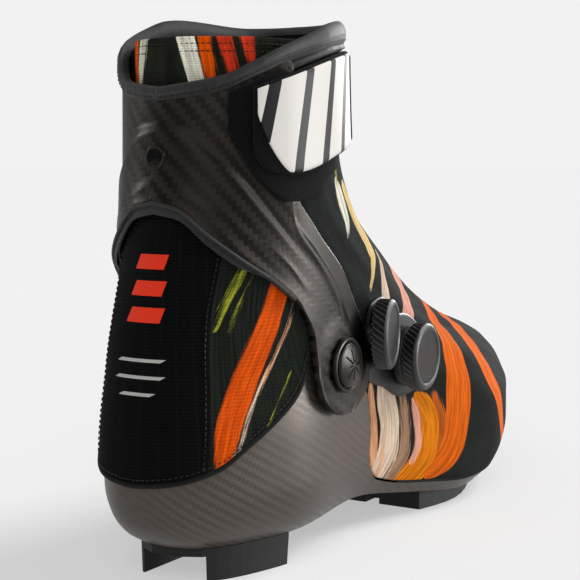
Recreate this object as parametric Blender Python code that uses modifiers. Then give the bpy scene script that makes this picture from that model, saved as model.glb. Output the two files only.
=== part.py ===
"""Skate-style cross-country ski boot for the right foot.

Lengths are written in millimetres and scaled by MM when a mesh is made. Inside the boot's own
layout Y runs from near the heel (0) to the toe, X points to the outer side of the foot and Z is
up from the ground. The empty boot_frame moves that layout to the middle of the outline.
"""
import math

import bmesh
import bpy
import numpy as np

MM = 0.001
FRAME_SHIFT = (-3.0, -140.9, 0.0)

# Ankle pivot of the cuff, on a line across the boot.
PIVOT_Y = 66.0
PIVOT_Z = 77.0
ARM_INNER_X = 41.6
CHASSIS_FLAT_X = 38.8
BUSH_RADIUS = 5.0

# The two soft halves meet on a rounded surface that turns about the pivot line.
SPLIT_RADIUS = 86.5
SPLIT_HALF_WIDTH = 43.8
SPLIT_GAP = 1.5

# Layers, as distances outward from the reference surface.
CHASSIS_THICK = 2.2
FABRIC_THICK = 1.3
BOOTIE_OUTER = -5.0
BOOTIE_THICK = 2.4
HEEL_PANEL_INNER = 0.6
HEEL_PANEL_THICK = 1.1
CUFF_INNER = 2.5
CUFF_THICK = 1.8
COLLAR_INNER = -3.9
COLLAR_THICK = 2.2
FRONT_COLLAR_INNER = -0.6
LOOP_INNER = CUFF_INNER + CUFF_THICK + 0.3
LOOP_THICK = 0.8
STRAP_INNER = LOOP_INNER + LOOP_THICK + 0.4
STRAP_THICK = 1.5
LACE_LAYER = -3.1
LACE_RADIUS = 0.6

# Sole heights.
SOLE_Z = 13.0
BOARD_Z = (15.6, 16.6)
BOOTIE_Z = 17.2
FOOTBED_Z = (20.3, 23.3)

# Rotary lacing dials: foot of the axis, and how far it leans forward from straight outward.
DIAL_RADIUS = 14.2
UPPER_DIAL = ((39.7, 89.5, 86.5), 16.0)
LOWER_DIAL = ((40.6, 121.0, 74.0), 4.0)

# Turns round one half of a ring, closer together at the front edge of the chassis walls.
HALF_TURNS = (0, 9, 18, 27, 36, 45, 54, 62, 69, 74, 76.5, 79, 81.5, 84, 90, 96, 102, 108, 115,
              123, 133, 144, 154, 163, 172, 180)
# Shares of the height at which the soft layers have their rows.
LAYER_ROWS = (0, 0.06, 0.15, 0.25, 0.34, 0.43, 0.53, 0.66, 0.82, 1)
THROAT_TURN = 160
THROAT_ROW = 6

# Reference surface: (height, value) along the height.
BACK = [(13, 5.5), (17, -1), (24, -6.5), (34, -9.5), (46, -10.5), (62, -9.5), (80, -6.5),
        (100, -2.5), (120, 2), (135, 5), (160, 7.5), (215, 8.5)]
FRONT = [(13, 272), (17, 283), (24, 291), (34, 294), (44, 293), (56, 284), (66, 268), (75, 242),
         (84, 211), (98, 179), (115, 152), (135, 124), (160, 109), (215, 105)]
HEEL_WIDTH = [(13, 37), (17, 42.5), (24, 47), (34, 50), (52, 50.5), (84, 46.5), (115, 42),
              (135, 40.5), (160, 40), (215, 39.5)]
WAIST_WIDTH = [(13, 30), (20, 33), (32, 35), (52, 36.5), (84, 39.5), (115, 40), (160, 39.5),
               (215, 39.5)]
BALL_WIDTH = [(13, 44), (20, 49.5), (30, 52), (44, 51), (56, 47), (66, 43), (75, 40), (84, 38.5),
              (115, 38.5), (160, 39.5), (215, 39.5)]
TOE_WIDTH = [(13, 38), (20, 44), (30, 47), (44, 46), (56, 42), (66, 38), (75, 35), (84, 34),
             (98, 35), (115, 36), (160, 39), (215, 39.5)]
ROUNDNESS = [(13, 0.72), (60, 0.8), (120, 0.95), (160, 1.0), (215, 1.0)]
CENTRE_LINE = [(0, 0), (120, 0.5), (190, 1.5), (245, -2), (296, -9)]
SOLE_RISE = [(0, 0), (45, 0), (95, 3), (140, -2), (175, -5.5), (235, -5), (275, -1), (296, 3)]
STATIONS = (0.14, 0.38, 0.66, 0.88)

# Outlines on the surface: (turn in degrees from the heel back, height).
CHASSIS_TOP = [(0, 49), (25, 55), (40, 70), (50, 84), (60, 92), (68, 92), (74, 82), (78, 62),
               (81, 36), (84, 19), (90, 17.6), (180, 17.6)]
PANEL_HEM = [(0, 39), (13, 41), (25, 45), (34, 53), (40, 59), (46, 66), (53, 76), (62, 90)]
CUFF_LOWER = [(0, 140), (12, 138), (25, 129), (38, 120), (50, 111), (58, 101), (59.5, 92),
              (57, 82), (54, 73), (53.5, 66), (55.5, 60.5), (59, 57.5)]
CUFF_UPPER = [(0, 179), (20, 180.5), (45, 187), (62, 193), (66, 190), (66, 165), (64, 148),
              (74, 130), (82, 112), (83, 97), (80, 83), (74.5, 71), (70, 62), (65, 57.5)]
RIM_HEIGHT = [(0, 179), (12, 180), (33, 183), (44, 187), (60, 193), (79, 198), (96, 202),
              (130, 205), (180, 206)]
LEDGE = [(0, 167), (12, 165.5), (27, 156), (38, 149), (52, 134), (70, 110)]
STRAP_LOW = [(44, 160), (50, 153), (62, 151), (96, 158), (130, 163), (180, 165)]
STRAP_HIGH = [(44, 181), (60, 186), (96, 195), (130, 199), (180, 200)]
LOOP_LOW = [(34, 168), (42, 155), (52, 145), (60, 141), (64, 142)]
PLATE_LOW = [(87, 72), (95, 66), (108, 62), (121, 56.5), (134, 59), (143, 68)]
PLATE_HIGH = [(87, 84), (92, 98), (103, 100), (115, 92), (126, 91), (137, 86), (143, 76)]


def through(points, at):
    """Smooth curve through (position, value) points that never overshoots them."""
    x = np.array([p[0] for p in points], float)
    y = np.array([p[1] for p in points], float)
    step = np.diff(x)
    rise = np.diff(y) / step
    slope = np.zeros_like(y)
    slope[0], slope[-1] = rise[0], rise[-1]
    for i in range(1, len(x) - 1):
        if rise[i - 1] * rise[i] > 0:
            a = 2 * step[i] + step[i - 1]
            b = step[i] + 2 * step[i - 1]
            slope[i] = (a + b) / (a / rise[i - 1] + b / rise[i])
    at = np.clip(np.asarray(at, float), x[0], x[-1])
    i = np.clip(np.searchsorted(x, at, side="right") - 1, 0, len(step) - 1)
    u = (at - x[i]) / step[i]
    start = y[i] * (1 + 2 * u) + step[i] * slope[i] * u
    end = y[i + 1] * (3 - 2 * u) + step[i] * slope[i + 1] * (u - 1)
    return start * (1 - u) ** 2 + end * u * u


def ease(value):
    value = np.clip(value, 0.0, 1.0)
    return value * value * (3 - 2 * value)


def half_width(along, z):
    """Half of the boot's width at a fraction of its length, for a height."""
    widths = [through(w, z) for w in (HEEL_WIDTH, WAIST_WIDTH, BALL_WIDTH, TOE_WIDTH)]
    width = widths[0]
    for i in range(3):
        share = ease((along - STATIONS[i]) / (STATIONS[i + 1] - STATIONS[i]))
        width = width + (widths[i + 1] - widths[i]) * share
    angle = np.arccos(1 - 2 * along)
    return width * np.sin(angle) ** through(ROUNDNESS, z)


def plain_skin(turn, z):
    """Point of the reference surface: turn 0 is the heel back, 90 the outer side, 180 the toe."""
    turn = np.radians(np.asarray(turn, float))
    turn, z = np.broadcast_arrays(turn, np.asarray(z, float))
    along = (1 - np.cos(turn)) / 2
    back = through(BACK, z)
    y = back + along * (through(FRONT, z) - back)
    side = np.where(np.sin(turn) < 0, -1.0, 1.0)
    x = through(CENTRE_LINE, y) + side * half_width(along, z)
    rise = through(SOLE_RISE, y) * (1 - ease((z - 20) / 26))
    return np.stack([x, y, z + rise], -1)


def skin(turn, z, out=0.0):
    """Point at a distance out from the reference surface. Low down it is measured level."""
    turn = np.asarray(turn, float)
    across = plain_skin(turn + 0.7, z) - plain_skin(turn - 0.7, z)
    up = plain_skin(turn, np.asarray(z, float) + 0.4) - plain_skin(turn, np.asarray(z, float) - 0.4)
    normal = np.cross(across, up)
    normal[..., 2] *= ease((np.asarray(z, float) - 18) / 16)
    normal /= np.linalg.norm(normal, axis=-1, keepdims=True)
    return plain_skin(turn, z) + normal * np.asarray(out, float)[..., None]


def turn_at(y, z):
    """Turn in degrees at which the surface passes a distance along the boot."""
    back = through(BACK, z)
    along = np.clip((y - back) / (through(FRONT, z) - back), 0, 1)
    return np.degrees(np.arccos(1 - 2 * along))


def split_height(turn, out, grow=0.0):
    """Height at which the surface crosses the rounded split between the two soft halves."""
    low = np.full(np.shape(turn), PIVOT_Z)
    high = np.full(np.shape(turn), 200.0)
    for _ in range(24):
        middle = (low + high) / 2
        x, y, z = np.moveaxis(skin(turn, middle, out), -1, 0)
        reach = np.hypot(y - PIVOT_Y, z - PIVOT_Z) / (SPLIT_RADIUS + grow)
        inside = (x / (SPLIT_HALF_WIDTH + grow)) ** 2 + reach ** 2 < 1
        low = np.where(inside, middle, low)
        high = np.where(inside, high, middle)
    return low


def fold(turn):
    """Turn measured from the heel back on either side, 0 to 180."""
    turn = np.abs(np.asarray(turn, float)) % 360
    return np.minimum(turn, 360 - turn)


def flatten(points, plane_x, radius):
    """Press the part of a surface near the pivot flat, square to the pivot line."""
    reach = np.hypot(points[..., 1] - PIVOT_Y, points[..., 2] - PIVOT_Z)
    share = 1 - ease((reach - radius) / 9)
    flat = np.sign(points[..., 0]) * plane_x
    points[..., 0] += (flat - points[..., 0]) * share
    return points


# ---------------------------------------------------------------- Blender helpers

def clear_scene():
    for thing in list(bpy.data.objects):
        bpy.data.objects.remove(thing)


def collection(name):
    group = bpy.data.collections.new(name)
    bpy.context.scene.collection.children.link(group)
    return group


def material(name, colour, rough, metal=0.0):
    known = bpy.data.materials.get(name)
    if known:
        return known
    made = bpy.data.materials.new(name)
    made.use_nodes = True
    shader = made.node_tree.nodes["Principled BSDF"]
    shader.inputs["Base Color"].default_value = (*colour, 1.0)
    shader.inputs["Roughness"].default_value = rough
    shader.inputs["Metallic"].default_value = metal
    return made


def carbon():
    return material("carbon", (0.05, 0.045, 0.04), 0.35)


def rubber():
    return material("rubber", (0.02, 0.02, 0.02), 0.7)


def black_fabric():
    return material("black_fabric", (0.02, 0.022, 0.024), 0.85)


def printed_fabric():
    return material("printed_fabric", (0.5, 0.15, 0.05), 0.8)


def lining():
    return material("lining", (0.05, 0.05, 0.05), 0.95)


def plastic():
    return material("plastic", (0.03, 0.03, 0.032), 0.45)


def steel():
    return material("steel", (0.6, 0.6, 0.6), 0.3, 1.0)


class Model:
    parts = None
    cutters = None
    frame = None


def place(name, mesh, look, smooth=True):
    """Make one named part from a mesh that is laid out in the boot's own frame."""
    part = bpy.data.objects.new(name, mesh)
    Model.parts.objects.link(part)
    part.parent = Model.frame
    mesh.materials.append(look)
    if smooth:
        mesh.shade_smooth()
        mesh.set_sharp_from_angle(angle=math.radians(35))
    return part


def mesh_from(name, points, faces):
    mesh = bpy.data.meshes.new(name)
    mesh.from_pydata([tuple(float(v) * MM for v in p) for p in points], [], faces)
    mesh.validate()
    build = bmesh.new()
    build.from_mesh(mesh)
    bmesh.ops.recalc_face_normals(build, faces=build.faces[:])
    build.to_mesh(mesh)
    build.free()
    return mesh


def grid_faces(rows, columns, ring):
    """Quads between neighbouring rows of points. A ring joins its last column to its first."""
    faces = []
    for r in range(rows - 1):
        for c in range(columns if ring else columns - 1):
            n = (c + 1) % columns
            faces.append((r * columns + c, r * columns + n, (r + 1) * columns + n,
                          (r + 1) * columns + c))
    return faces


def sole_faces(first, columns):
    """Close a ring with strips from one side of the foot to the other."""
    half = columns // 2
    faces = [(first, first + 1, first + columns - 1)]
    for c in range(1, half - 1):
        faces.append((first + c, first + c + 1, first + columns - c - 1, first + columns - c))
    faces.append((first + half - 1, first + half, first + half + 1))
    return faces


def sheet(name, look, rows, thick, ring=False, sole=False, keep=None):
    """Open surface through rows of points, thickened outward, or inward when thick is below 0."""
    rows = np.asarray(rows)
    count, columns = rows.shape[:2]
    faces = grid_faces(count, columns, ring)
    if sole:
        faces += sole_faces(0, columns)
    if keep:
        faces = [face for face in faces if keep(face)]
    part = place(name, mesh_from(name, rows.reshape(-1, 3), faces), look)
    aim_outward(part.data)
    wall = part.modifiers.new("wall", "SOLIDIFY")
    wall.thickness = abs(thick) * MM
    wall.offset = 1.0 if thick > 0 else -1.0
    return part


def aim_outward(mesh):
    """Turn an open sheet so that its faces look away from the middle of the boot."""
    build = bmesh.new()
    build.from_mesh(mesh)
    total = 0.0
    for face in build.faces:
        spot = face.calc_center_median()
        axis_y = min(max(spot.y, 0.05), 0.24)
        away = spot.copy()
        away.y -= axis_y
        away.z -= 0.035 if spot.z < 0.09 else spot.z
        total += face.normal.dot(away) * face.calc_area()
    if total < 0:
        bmesh.ops.reverse_faces(build, faces=build.faces[:])
    build.to_mesh(mesh)
    build.free()


def band(turns, low, high, rows, out):
    """Rows of surface points between two height outlines, for a list of turns."""
    turns = np.asarray(turns, float)
    return [skin(turns, low + (high - low) * r / rows, np.full(turns.shape, float(out)))
            for r in range(rows + 1)]


def slab(name, look, height, out, turns):
    """Flat insole-like plate between two heights."""
    turns = np.asarray(turns, float)
    rows = [skin(turns, np.full(turns.shape, SOLE_Z), np.full(turns.shape, out)) for _ in range(2)]
    for row, z in zip(rows, height):
        row[:, 2] += z - SOLE_Z
    points = np.concatenate(rows)
    columns = len(turns)
    faces = grid_faces(2, columns, True) + sole_faces(0, columns) + sole_faces(columns, columns)
    return place(name, mesh_from(name, points, faces), look)


def turned(name, look, profile, where, lean=(0, 0, 0), steps=32):
    """Solid of revolution about local Z. The profile is given going up its outer side."""
    mesh = bpy.data.meshes.new(name)
    points = [(r * MM, 0.0, z * MM) for r, z in reversed(profile)]
    closed = profile[0][0] > 0
    edges = [(i, i + 1) for i in range(len(points) - 1)]
    if closed:
        edges.append((len(points) - 1, 0))
    mesh.from_pydata(points, edges, [])
    part = place(name, mesh, look, smooth=False)
    part.location = [v * MM for v in where]
    part.rotation_euler = [math.radians(a) for a in lean]
    spin = part.modifiers.new("turn", "SCREW")
    spin.steps = steps
    spin.render_steps = steps
    spin.use_merge_vertices = True
    spin.merge_threshold = 0.00002
    return part


def cutter(name, mesh):
    tool = bpy.data.objects.new(name, mesh)
    Model.cutters.objects.link(tool)
    tool.parent = Model.frame
    tool.hide_render = True
    tool.display_type = "WIRE"
    return tool


def box_mesh(name, low, high):
    build = bmesh.new()
    bmesh.ops.create_cube(build, size=1.0)
    for vertex in build.verts:
        for axis in range(3):
            middle = (low[axis] + high[axis]) / 2
            vertex.co[axis] = (middle + vertex.co[axis] * (high[axis] - low[axis])) * MM
    mesh = bpy.data.meshes.new(name)
    build.to_mesh(mesh)
    build.free()
    return mesh


def rod_mesh(name, radius, length, sides=32):
    build = bmesh.new()
    bmesh.ops.create_cone(build, cap_ends=True, segments=sides, radius1=radius * MM,
                          radius2=radius * MM, depth=length * MM)
    mesh = bpy.data.meshes.new(name)
    build.to_mesh(mesh)
    build.free()
    return mesh


def cut(part, tool, operation="DIFFERENCE"):
    change = part.modifiers.new(tool.name, "BOOLEAN")
    change.operation = operation
    change.object = tool
    change.solver = "EXACT"


def tube(name, look, route, radius, sides=2):
    """Round cord or rod along a list of points, with closed ends."""
    curve = bpy.data.curves.new(name, "CURVE")
    curve.dimensions = "3D"
    curve.bevel_depth = radius * MM
    curve.bevel_resolution = sides
    curve.use_fill_caps = True
    line = curve.splines.new("POLY")
    line.points.add(len(route) - 1)
    for point, spot in zip(line.points, route):
        point.co = (*[float(v) * MM for v in spot], 1.0)
    part = bpy.data.objects.new(name, curve)
    Model.parts.objects.link(part)
    part.parent = Model.frame
    curve.materials.append(look)
    return part


# ---------------------------------------------------------------- lower boot

def whole_ring():
    half = list(HALF_TURNS)
    return np.array(half + [360 - turn for turn in half[-2:0:-1]], float)


def chassis():
    turns = whole_ring()
    top = through(CHASSIS_TOP, fold(turns))
    shares = (0, 0.1, 0.26, 0.48, 0.74, 1)
    low = np.full(turns.shape, SOLE_Z)
    rows = [flatten(skin(turns, low + (top - low) * s), CHASSIS_FLAT_X, 12) for s in shares]
    part = sheet("carbon_chassis", carbon(), rows, -CHASSIS_THICK, ring=True, sole=True)
    for side in (1, -1):
        hole = cutter("chassis_pivot_bore", rod_mesh("chassis_pivot_bore", BUSH_RADIUS + 0.3, 30))
        hole.location = (side * CHASSIS_FLAT_X * MM, PIVOT_Y * MM, PIVOT_Z * MM)
        hole.rotation_euler = (0, math.radians(90), 0)
        cut(part, hole)
    return part


def layer(turns, low, out, grow=0.0):
    """Rows of a soft layer from its lower edge up to the split, moved out by grow."""
    out = np.full(turns.shape, float(out))
    top = split_height(turns, out)
    return np.array([skin(turns, low + (top - low) * share, out + grow) for share in LAYER_ROWS])


def bootie():
    turns = whole_ring()
    rows = layer(turns, np.full(turns.shape, BOOTIE_Z), BOOTIE_OUTER)
    middle = fold(turns) > THROAT_TURN
    columns = len(turns)

    def outside_throat(face):
        low = min(face) // columns
        across = [middle[corner % columns] for corner in face]
        return low < THROAT_ROW or not all(across)

    sheet("inner_bootie", lining(), rows, -BOOTIE_THICK, ring=True, sole=True,
          keep=outside_throat)


def tongue():
    turns = np.linspace(THROAT_TURN + 5, 355 - THROAT_TURN, 7)
    rows = layer(turns, np.full(turns.shape, BOOTIE_Z), BOOTIE_OUTER)[THROAT_ROW:]
    rows[0] += (rows[1] - rows[0]) * 0.15
    sheet("tongue", lining(), rows, -BOOTIE_THICK)


def upper_rows(grow=0.0):
    turns = whole_ring()
    turns = turns[(turns > 53) & (turns < 307)]
    low = np.maximum(through(CHASSIS_TOP, fold(turns)), through(CHASSIS_TOP, fold(turns) - 1.2))
    return layer(turns, low + 1.0, 0, grow)


def fabric_upper():
    rows = upper_rows()
    spots = rows.reshape(-1, 3)
    faces = grid_faces(*rows.shape[:2], False)
    middles = spots[np.array(faces)].mean(axis=1)
    columns = rows.shape[1]
    picked = [faces[int(np.argmin(np.linalg.norm(middles - foot, axis=1)))][0]
              for foot, _ in (UPPER_DIAL, LOWER_DIAL)]
    across = [corner % columns for corner in picked]
    along = [corner // columns for corner in picked]

    def outside_window(face):
        inside_turn = min(across) - 1 <= face[0] % columns <= max(across)
        inside_row = min(along) <= face[0] // columns <= max(along)
        return not (inside_turn and inside_row)

    sheet("fabric_upper", printed_fabric(), rows, -FABRIC_THICK, keep=outside_window)


def heel_panel():
    turns = np.linspace(-61, 61, 23)
    high = split_height(turns, np.full(turns.shape, HEEL_PANEL_INNER + HEEL_PANEL_THICK))
    rows = band(turns, through(PANEL_HEM, fold(turns)), high, 8, HEEL_PANEL_INNER)
    sheet("heel_panel", black_fabric(), rows, HEEL_PANEL_THICK)


def insoles():
    turns = whole_ring()
    slab("lasting_board", lining(), BOARD_Z, -3.4, turns)
    slab("footbed", lining(), FOOTBED_Z, -4.6, turns)


def sole_outline(start, end, inset, count):
    """Points round a stretch of the sole, between two distances along the boot."""
    y = np.linspace(start, end, count)
    turn = turn_at(y, np.full(count, SOLE_Z))
    right = skin(turn, np.full(count, SOLE_Z), np.full(count, -inset))
    left = skin(-turn, np.full(count, SOLE_Z), np.full(count, -inset))
    return right, left


def pad(name, look, start, end, inset, count, bottom, drop, taper=0.0):
    """Sole pad with its top against the chassis and its bottom on the ground."""
    right, left = sole_outline(start, end, inset, count)
    outline = np.concatenate([right, left[::-1]])
    top = outline.copy()
    top[:, 2] -= drop
    low = outline.copy()
    low[:, 2] = bottom
    low[:, 0] *= 1 - taper
    points = np.concatenate([low, top])
    columns = len(outline)
    faces = grid_faces(2, columns, True)
    for first in (0, columns):
        for c in range(count - 1):
            faces.append((first + c, first + c + 1, first + columns - c - 2,
                          first + columns - c - 1))
    return place(name, mesh_from(name, points, faces), look)


def outsoles():
    heel = pad("heel_outsole", rubber(), 5.9, 48, 0.6, 10, 0.0, 0.4, taper=0.03)
    cut(heel, cutter("heel_channel", box_mesh("heel_channel", (-12, -20, -5), (15, 60, 9.6))))
    front = pad("forefoot_outsole", rubber(), 150, 266, 6.0, 12, 0.0, 1.2)
    for side in (-1, 1):
        name = "guide_groove"
        low = (side * 12 - 3.5 - 2, 130, -5)
        high = (side * 12 + 3.5 - 2, 300, 2.6)
        cut(front, cutter(name, box_mesh(name, low, high)))
    cut(front, cutter("bar_pocket", box_mesh("bar_pocket", (-21, 246, -5), (17, 280, 6.9))))


def binding_bar():
    y, z = 256.0, 3.4
    turned("binding_bar", steel(), [(0, -14.6), (1.9, -14.6), (1.9, 14.6), (0, 14.6)],
           (-2, y, z), (0, 90, 0), 24)
    plate = place("bar_bracket", box_mesh("bar_bracket", (-20.6, 250, 0.6), (16.6, 262, 6.6)),
                  steel(), smooth=False)
    cut(plate, cutter("bracket_mouth", box_mesh("bracket_mouth", (-17, 240, -5), (13, 270, 5.6))))


def pivots():
    """Screw, washer, bushing and nut on both sides of the ankle."""
    for side, name in ((1, "lateral"), (-1, "medial")):
        turn = (0, 90 * side, 0)
        spot = (0, PIVOT_Y, PIVOT_Z)
        turned(name + "_pivot_nut", steel(),
               [(2.6, 34.5), (6.5, 34.5), (6.5, 35.5), (2.6, 35.5)], spot, turn, 16)
        turned(name + "_pivot_bushing", plastic(),
               [(3.3, 36.5), (BUSH_RADIUS, 36.5), (BUSH_RADIUS, 43.9), (3.3, 43.9)], spot, turn, 20)
        outer = ARM_INNER_X + CUFF_THICK + 0.35
        turned(name + "_pivot_washer", plastic(),
               [(5.4, outer), (10.4, outer), (10.4, outer + 1.0), (9.6, outer + 1.8),
                (8.9, outer + 1.8), (8.9, outer + 0.8), (5.4, outer + 0.8)], spot, turn, 24)
        face = outer + 1.1
        screw = turned(name + "_pivot_screw", plastic(),
                       [(0, 36.6), (2.3, 36.6), (2.3, 44.3), (4.6, 44.3), (4.6, face), (8.5, face),
                        (8.5, face + 1.2), (7.6, face + 2.0), (4.0, face + 2.5), (0, face + 2.6)],
                       spot, turn, 24)
        for k in range(4):
            slot = cutter("screw_slot", box_mesh("screw_slot", (-6.2, -0.45, -0.8),
                                                 (6.2, 0.45, 0.8)))
            slot.location = (side * (face + 2.75) * MM, PIVOT_Y * MM, PIVOT_Z * MM)
            slot.rotation_euler = (math.radians(45 * k + 10), math.radians(90), 0)
            slot.rotation_mode = "ZYX"
            cut(screw, slot)


# ---------------------------------------------------------------- cuff

def cuff_grid(columns, rows, out):
    """Surface rows of the cuff between its lower edge and its upper and front edge."""
    share = np.linspace(-1, 1, columns)
    place_low = np.linspace(0, 1, len(CUFF_LOWER))
    place_high = np.linspace(0, 1, len(CUFF_UPPER))
    low = [through(list(zip(place_low, [p[k] for p in CUFF_LOWER])), abs(share)) for k in (0, 1)]
    high = [through(list(zip(place_high, [p[k] for p in CUFF_UPPER])), abs(share)) for k in (0, 1)]
    side = np.sign(share)
    grid = []
    for r in range(rows + 1):
        f = r / rows
        turn = (low[0] + (high[0] - low[0]) * f) * side
        z = low[1] + (high[1] - low[1]) * f
        grid.append(skin(turn, z, out + cuff_swell(turn, z)))
    return grid


def cuff_swell(turn, z):
    """The cuff steps in above its shoulder and flares toward its lower edge at the back."""
    rear = 1 - ease((fold(turn) - 45) / 25)
    ledge = through(LEDGE, fold(turn))
    step = ease((z - ledge + 1.5) / 5)
    flare = ease((ledge - 20 - z) / 14)
    return rear * (1.3 * flare - 1.4 * step)


def cuff():
    rows = np.asarray(cuff_grid(47, 5, CUFF_INNER))
    rows = flatten(rows, ARM_INNER_X, 13)
    part = sheet("cuff_shell", carbon(), rows, CUFF_THICK)
    for side in (1, -1):
        hole = cutter("cuff_pivot_bore", rod_mesh("cuff_pivot_bore", BUSH_RADIUS + 0.35, 30))
        hole.location = (side * ARM_INNER_X * MM, PIVOT_Y * MM, PIVOT_Z * MM)
        hole.rotation_euler = (0, math.radians(90), 0)
        cut(part, hole)
    eye = cutter("rear_eye", rod_mesh("rear_eye", 3.3, 40))
    eye.location = (0, 0.004, 0.157)
    eye.rotation_euler = (math.radians(90), 0, 0)
    cut(part, eye)
    back = skin(0.0, 157.0, CUFF_INNER + cuff_swell(0.0, 157.0))[1]
    turned("rear_eyelet", steel(), [(1.9, -2.6), (2.9, -2.6), (2.9, 0.4), (4.1, 0.4), (4.1, 0.9),
                                    (1.9, 0.9)], (0, back - CUFF_THICK, 157), (90, 0, 0), 16)


def cuff_trims():
    share = np.linspace(-0.42, 0.42, 24)
    place_low = np.linspace(0, 1, len(CUFF_LOWER))
    turn = through(list(zip(place_low, [p[0] for p in CUFF_LOWER])), abs(share)) * np.sign(share)
    z = through(list(zip(place_low, [p[1] for p in CUFF_LOWER])), abs(share)) - 1.4
    out = CUFF_INNER + 0.9 + cuff_swell(turn, z + 1.4)
    tube("cuff_hem_trim", rubber(), skin(turn, z, out), 0.8, 1)
    turns = whole_ring()
    height = through(RIM_HEIGHT, fold(turns)) + 0.5
    base = CUFF_INNER + cuff_swell(turns, height)
    centre = skin(turns, height + 2.0, base + 0.6)
    ring_tube("cuff_rim_trim", rubber(), centre, 1.9, 2.9)


def ring_tube(name, look, centre, height, width, sides=6):
    """Closed ring with a rounded section, higher or wider as asked."""
    count = len(centre)
    middle = centre.mean(axis=0)
    points, faces = [], []
    for i, spot in enumerate(centre):
        outward = spot - middle
        outward[2] = 0
        outward /= np.linalg.norm(outward)
        for k in range(sides):
            angle = 2 * math.pi * k / sides
            points.append(spot + outward * width * math.cos(angle)
                          + np.array([0, 0, height * math.sin(angle)]))
        for k in range(sides):
            a, b = i * sides, (i + 1) % count * sides
            n = (k + 1) % sides
            faces.append((a + k, a + n, b + n, b + k))
    return place(name, mesh_from(name, points, faces), look)


def collar():
    turns = whole_ring()
    low = split_height(turns, np.full(turns.shape, COLLAR_INNER), SPLIT_GAP) + 0.5
    high = np.maximum(through(RIM_HEIGHT, fold(turns)) + 2, 199.0)
    rows = band(turns, low, high, 3, COLLAR_INNER)
    sheet("collar_liner", printed_fabric(), rows, COLLAR_THICK, ring=True)


def front_collar():
    turns = np.linspace(72, 288, 25)
    low = split_height(turns, np.full(turns.shape, FRONT_COLLAR_INNER), SPLIT_GAP)
    low = np.maximum(low, through([(72, 138), (100, 146), (130, 150), (180, 156)], fold(turns)))
    high = through(RIM_HEIGHT, fold(turns))
    rows = band(turns, low, high, 3, FRONT_COLLAR_INNER)
    sheet("front_collar", black_fabric(), rows, 2.0)


# ---------------------------------------------------------------- strap

STRAP_PIN_TURN = -60.0
STRAP_FOLD_TURN = 118.0


def strap_spot(turn, out):
    return skin(float(turn), 175.0, np.asarray(float(out)))


def strap():
    turns = np.linspace(STRAP_PIN_TURN - 1.8, STRAP_FOLD_TURN - 360 + 3.0, 30)
    low = through(STRAP_LOW, fold(turns))
    high = through(STRAP_HIGH, fold(turns))
    front = sheet("cuff_strap", black_fabric(), band(turns, low, high, 2, STRAP_INNER), STRAP_THICK)
    pin = strap_spot(STRAP_PIN_TURN, STRAP_INNER + 1.2)
    pin_height = (151.5, 186.0)
    turned("strap_pin", steel(), [(0, pin_height[0] - 5), (1.0, pin_height[0] - 5),
                                  (1.0, pin_height[1] + 5), (0, pin_height[1] + 5)],
           (pin[0], pin[1], 0), steps=16)
    middle = sum(pin_height) / 2
    length = pin_height[1] - pin_height[0]
    barrel = cutter("strap_barrel", rod_mesh("strap_barrel", 2.4, length, 20))
    bore = cutter("strap_bore", rod_mesh("strap_bore", 1.3, length + 20, 20))
    for tool in (barrel, bore):
        tool.location = (pin[0] * MM, pin[1] * MM, middle * MM)
    cut(front, barrel, "UNION")
    cut(front, bore)
    for k, z in enumerate((pin_height[0] - 3.4, pin_height[1] + 3.6)):
        name = ("lower", "upper")[k] + "_strap_rivet"
        turned(name, steel(), [(1.3, -1.0), (2.6, -1.0), (2.6, 1.0), (1.3, 1.0)],
               (pin[0], pin[1], z), steps=20)


def strap_tab():
    turns = np.linspace(45.5, STRAP_FOLD_TURN - 3.0, 15)
    low = through(STRAP_LOW, turns)
    high = through(STRAP_HIGH, turns)
    sheet("strap_tab", black_fabric(), band(turns, low, high, 4, STRAP_INNER), STRAP_THICK)
    turns = np.linspace(48, STRAP_FOLD_TURN - 6, 14)
    low = through(STRAP_LOW, turns) + 1.5
    high = through(STRAP_HIGH, turns) - 1.5
    sheet("strap_panel", plastic(), band(turns, low, high, 4, STRAP_INNER + STRAP_THICK + 0.3), 0.9)
    turns = np.linspace(35, 63.5, 8)
    low = through(LOOP_LOW, turns)
    high = through(RIM_HEIGHT, turns) - 4.5
    sheet("loop_patch", black_fabric(), band(turns, low, high, 4, LOOP_INNER), LOOP_THICK)


# ---------------------------------------------------------------- lacing

def aim_dial(thing, foot, lean):
    """Stand a part's local Z along a dial's axis."""
    thing.location = [v * MM for v in foot]
    thing.rotation_euler = (0, math.radians(90), math.radians(lean))


def dial_plate():
    rows = upper_rows(0.5)[2:9, :18]
    part = sheet("dial_plate", plastic(), rows, 1.0)
    y = np.linspace(87, 143, 13)
    outline = [(v, float(through(PLATE_LOW, v))) for v in y]
    outline += [(v, float(through(PLATE_HIGH, v))) for v in y[::-1]]
    count = len(outline)
    points = [(x, v, z) for x in (25.0, 60.0) for v, z in outline]
    faces = grid_faces(2, count, True)
    faces += [tuple(range(count)), tuple(range(count, 2 * count))]
    cut(part, cutter("plate_outline", mesh_from("plate_outline", points, faces)), "INTERSECT")
    for name, (foot, lean) in (("upper", UPPER_DIAL), ("lower", LOWER_DIAL)):
        hole = cutter(name + "_plate_hole", rod_mesh(name + "_plate_hole", 3.2, 24, 20))
        aim_dial(hole, foot, lean)
        cut(part, hole)


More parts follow.
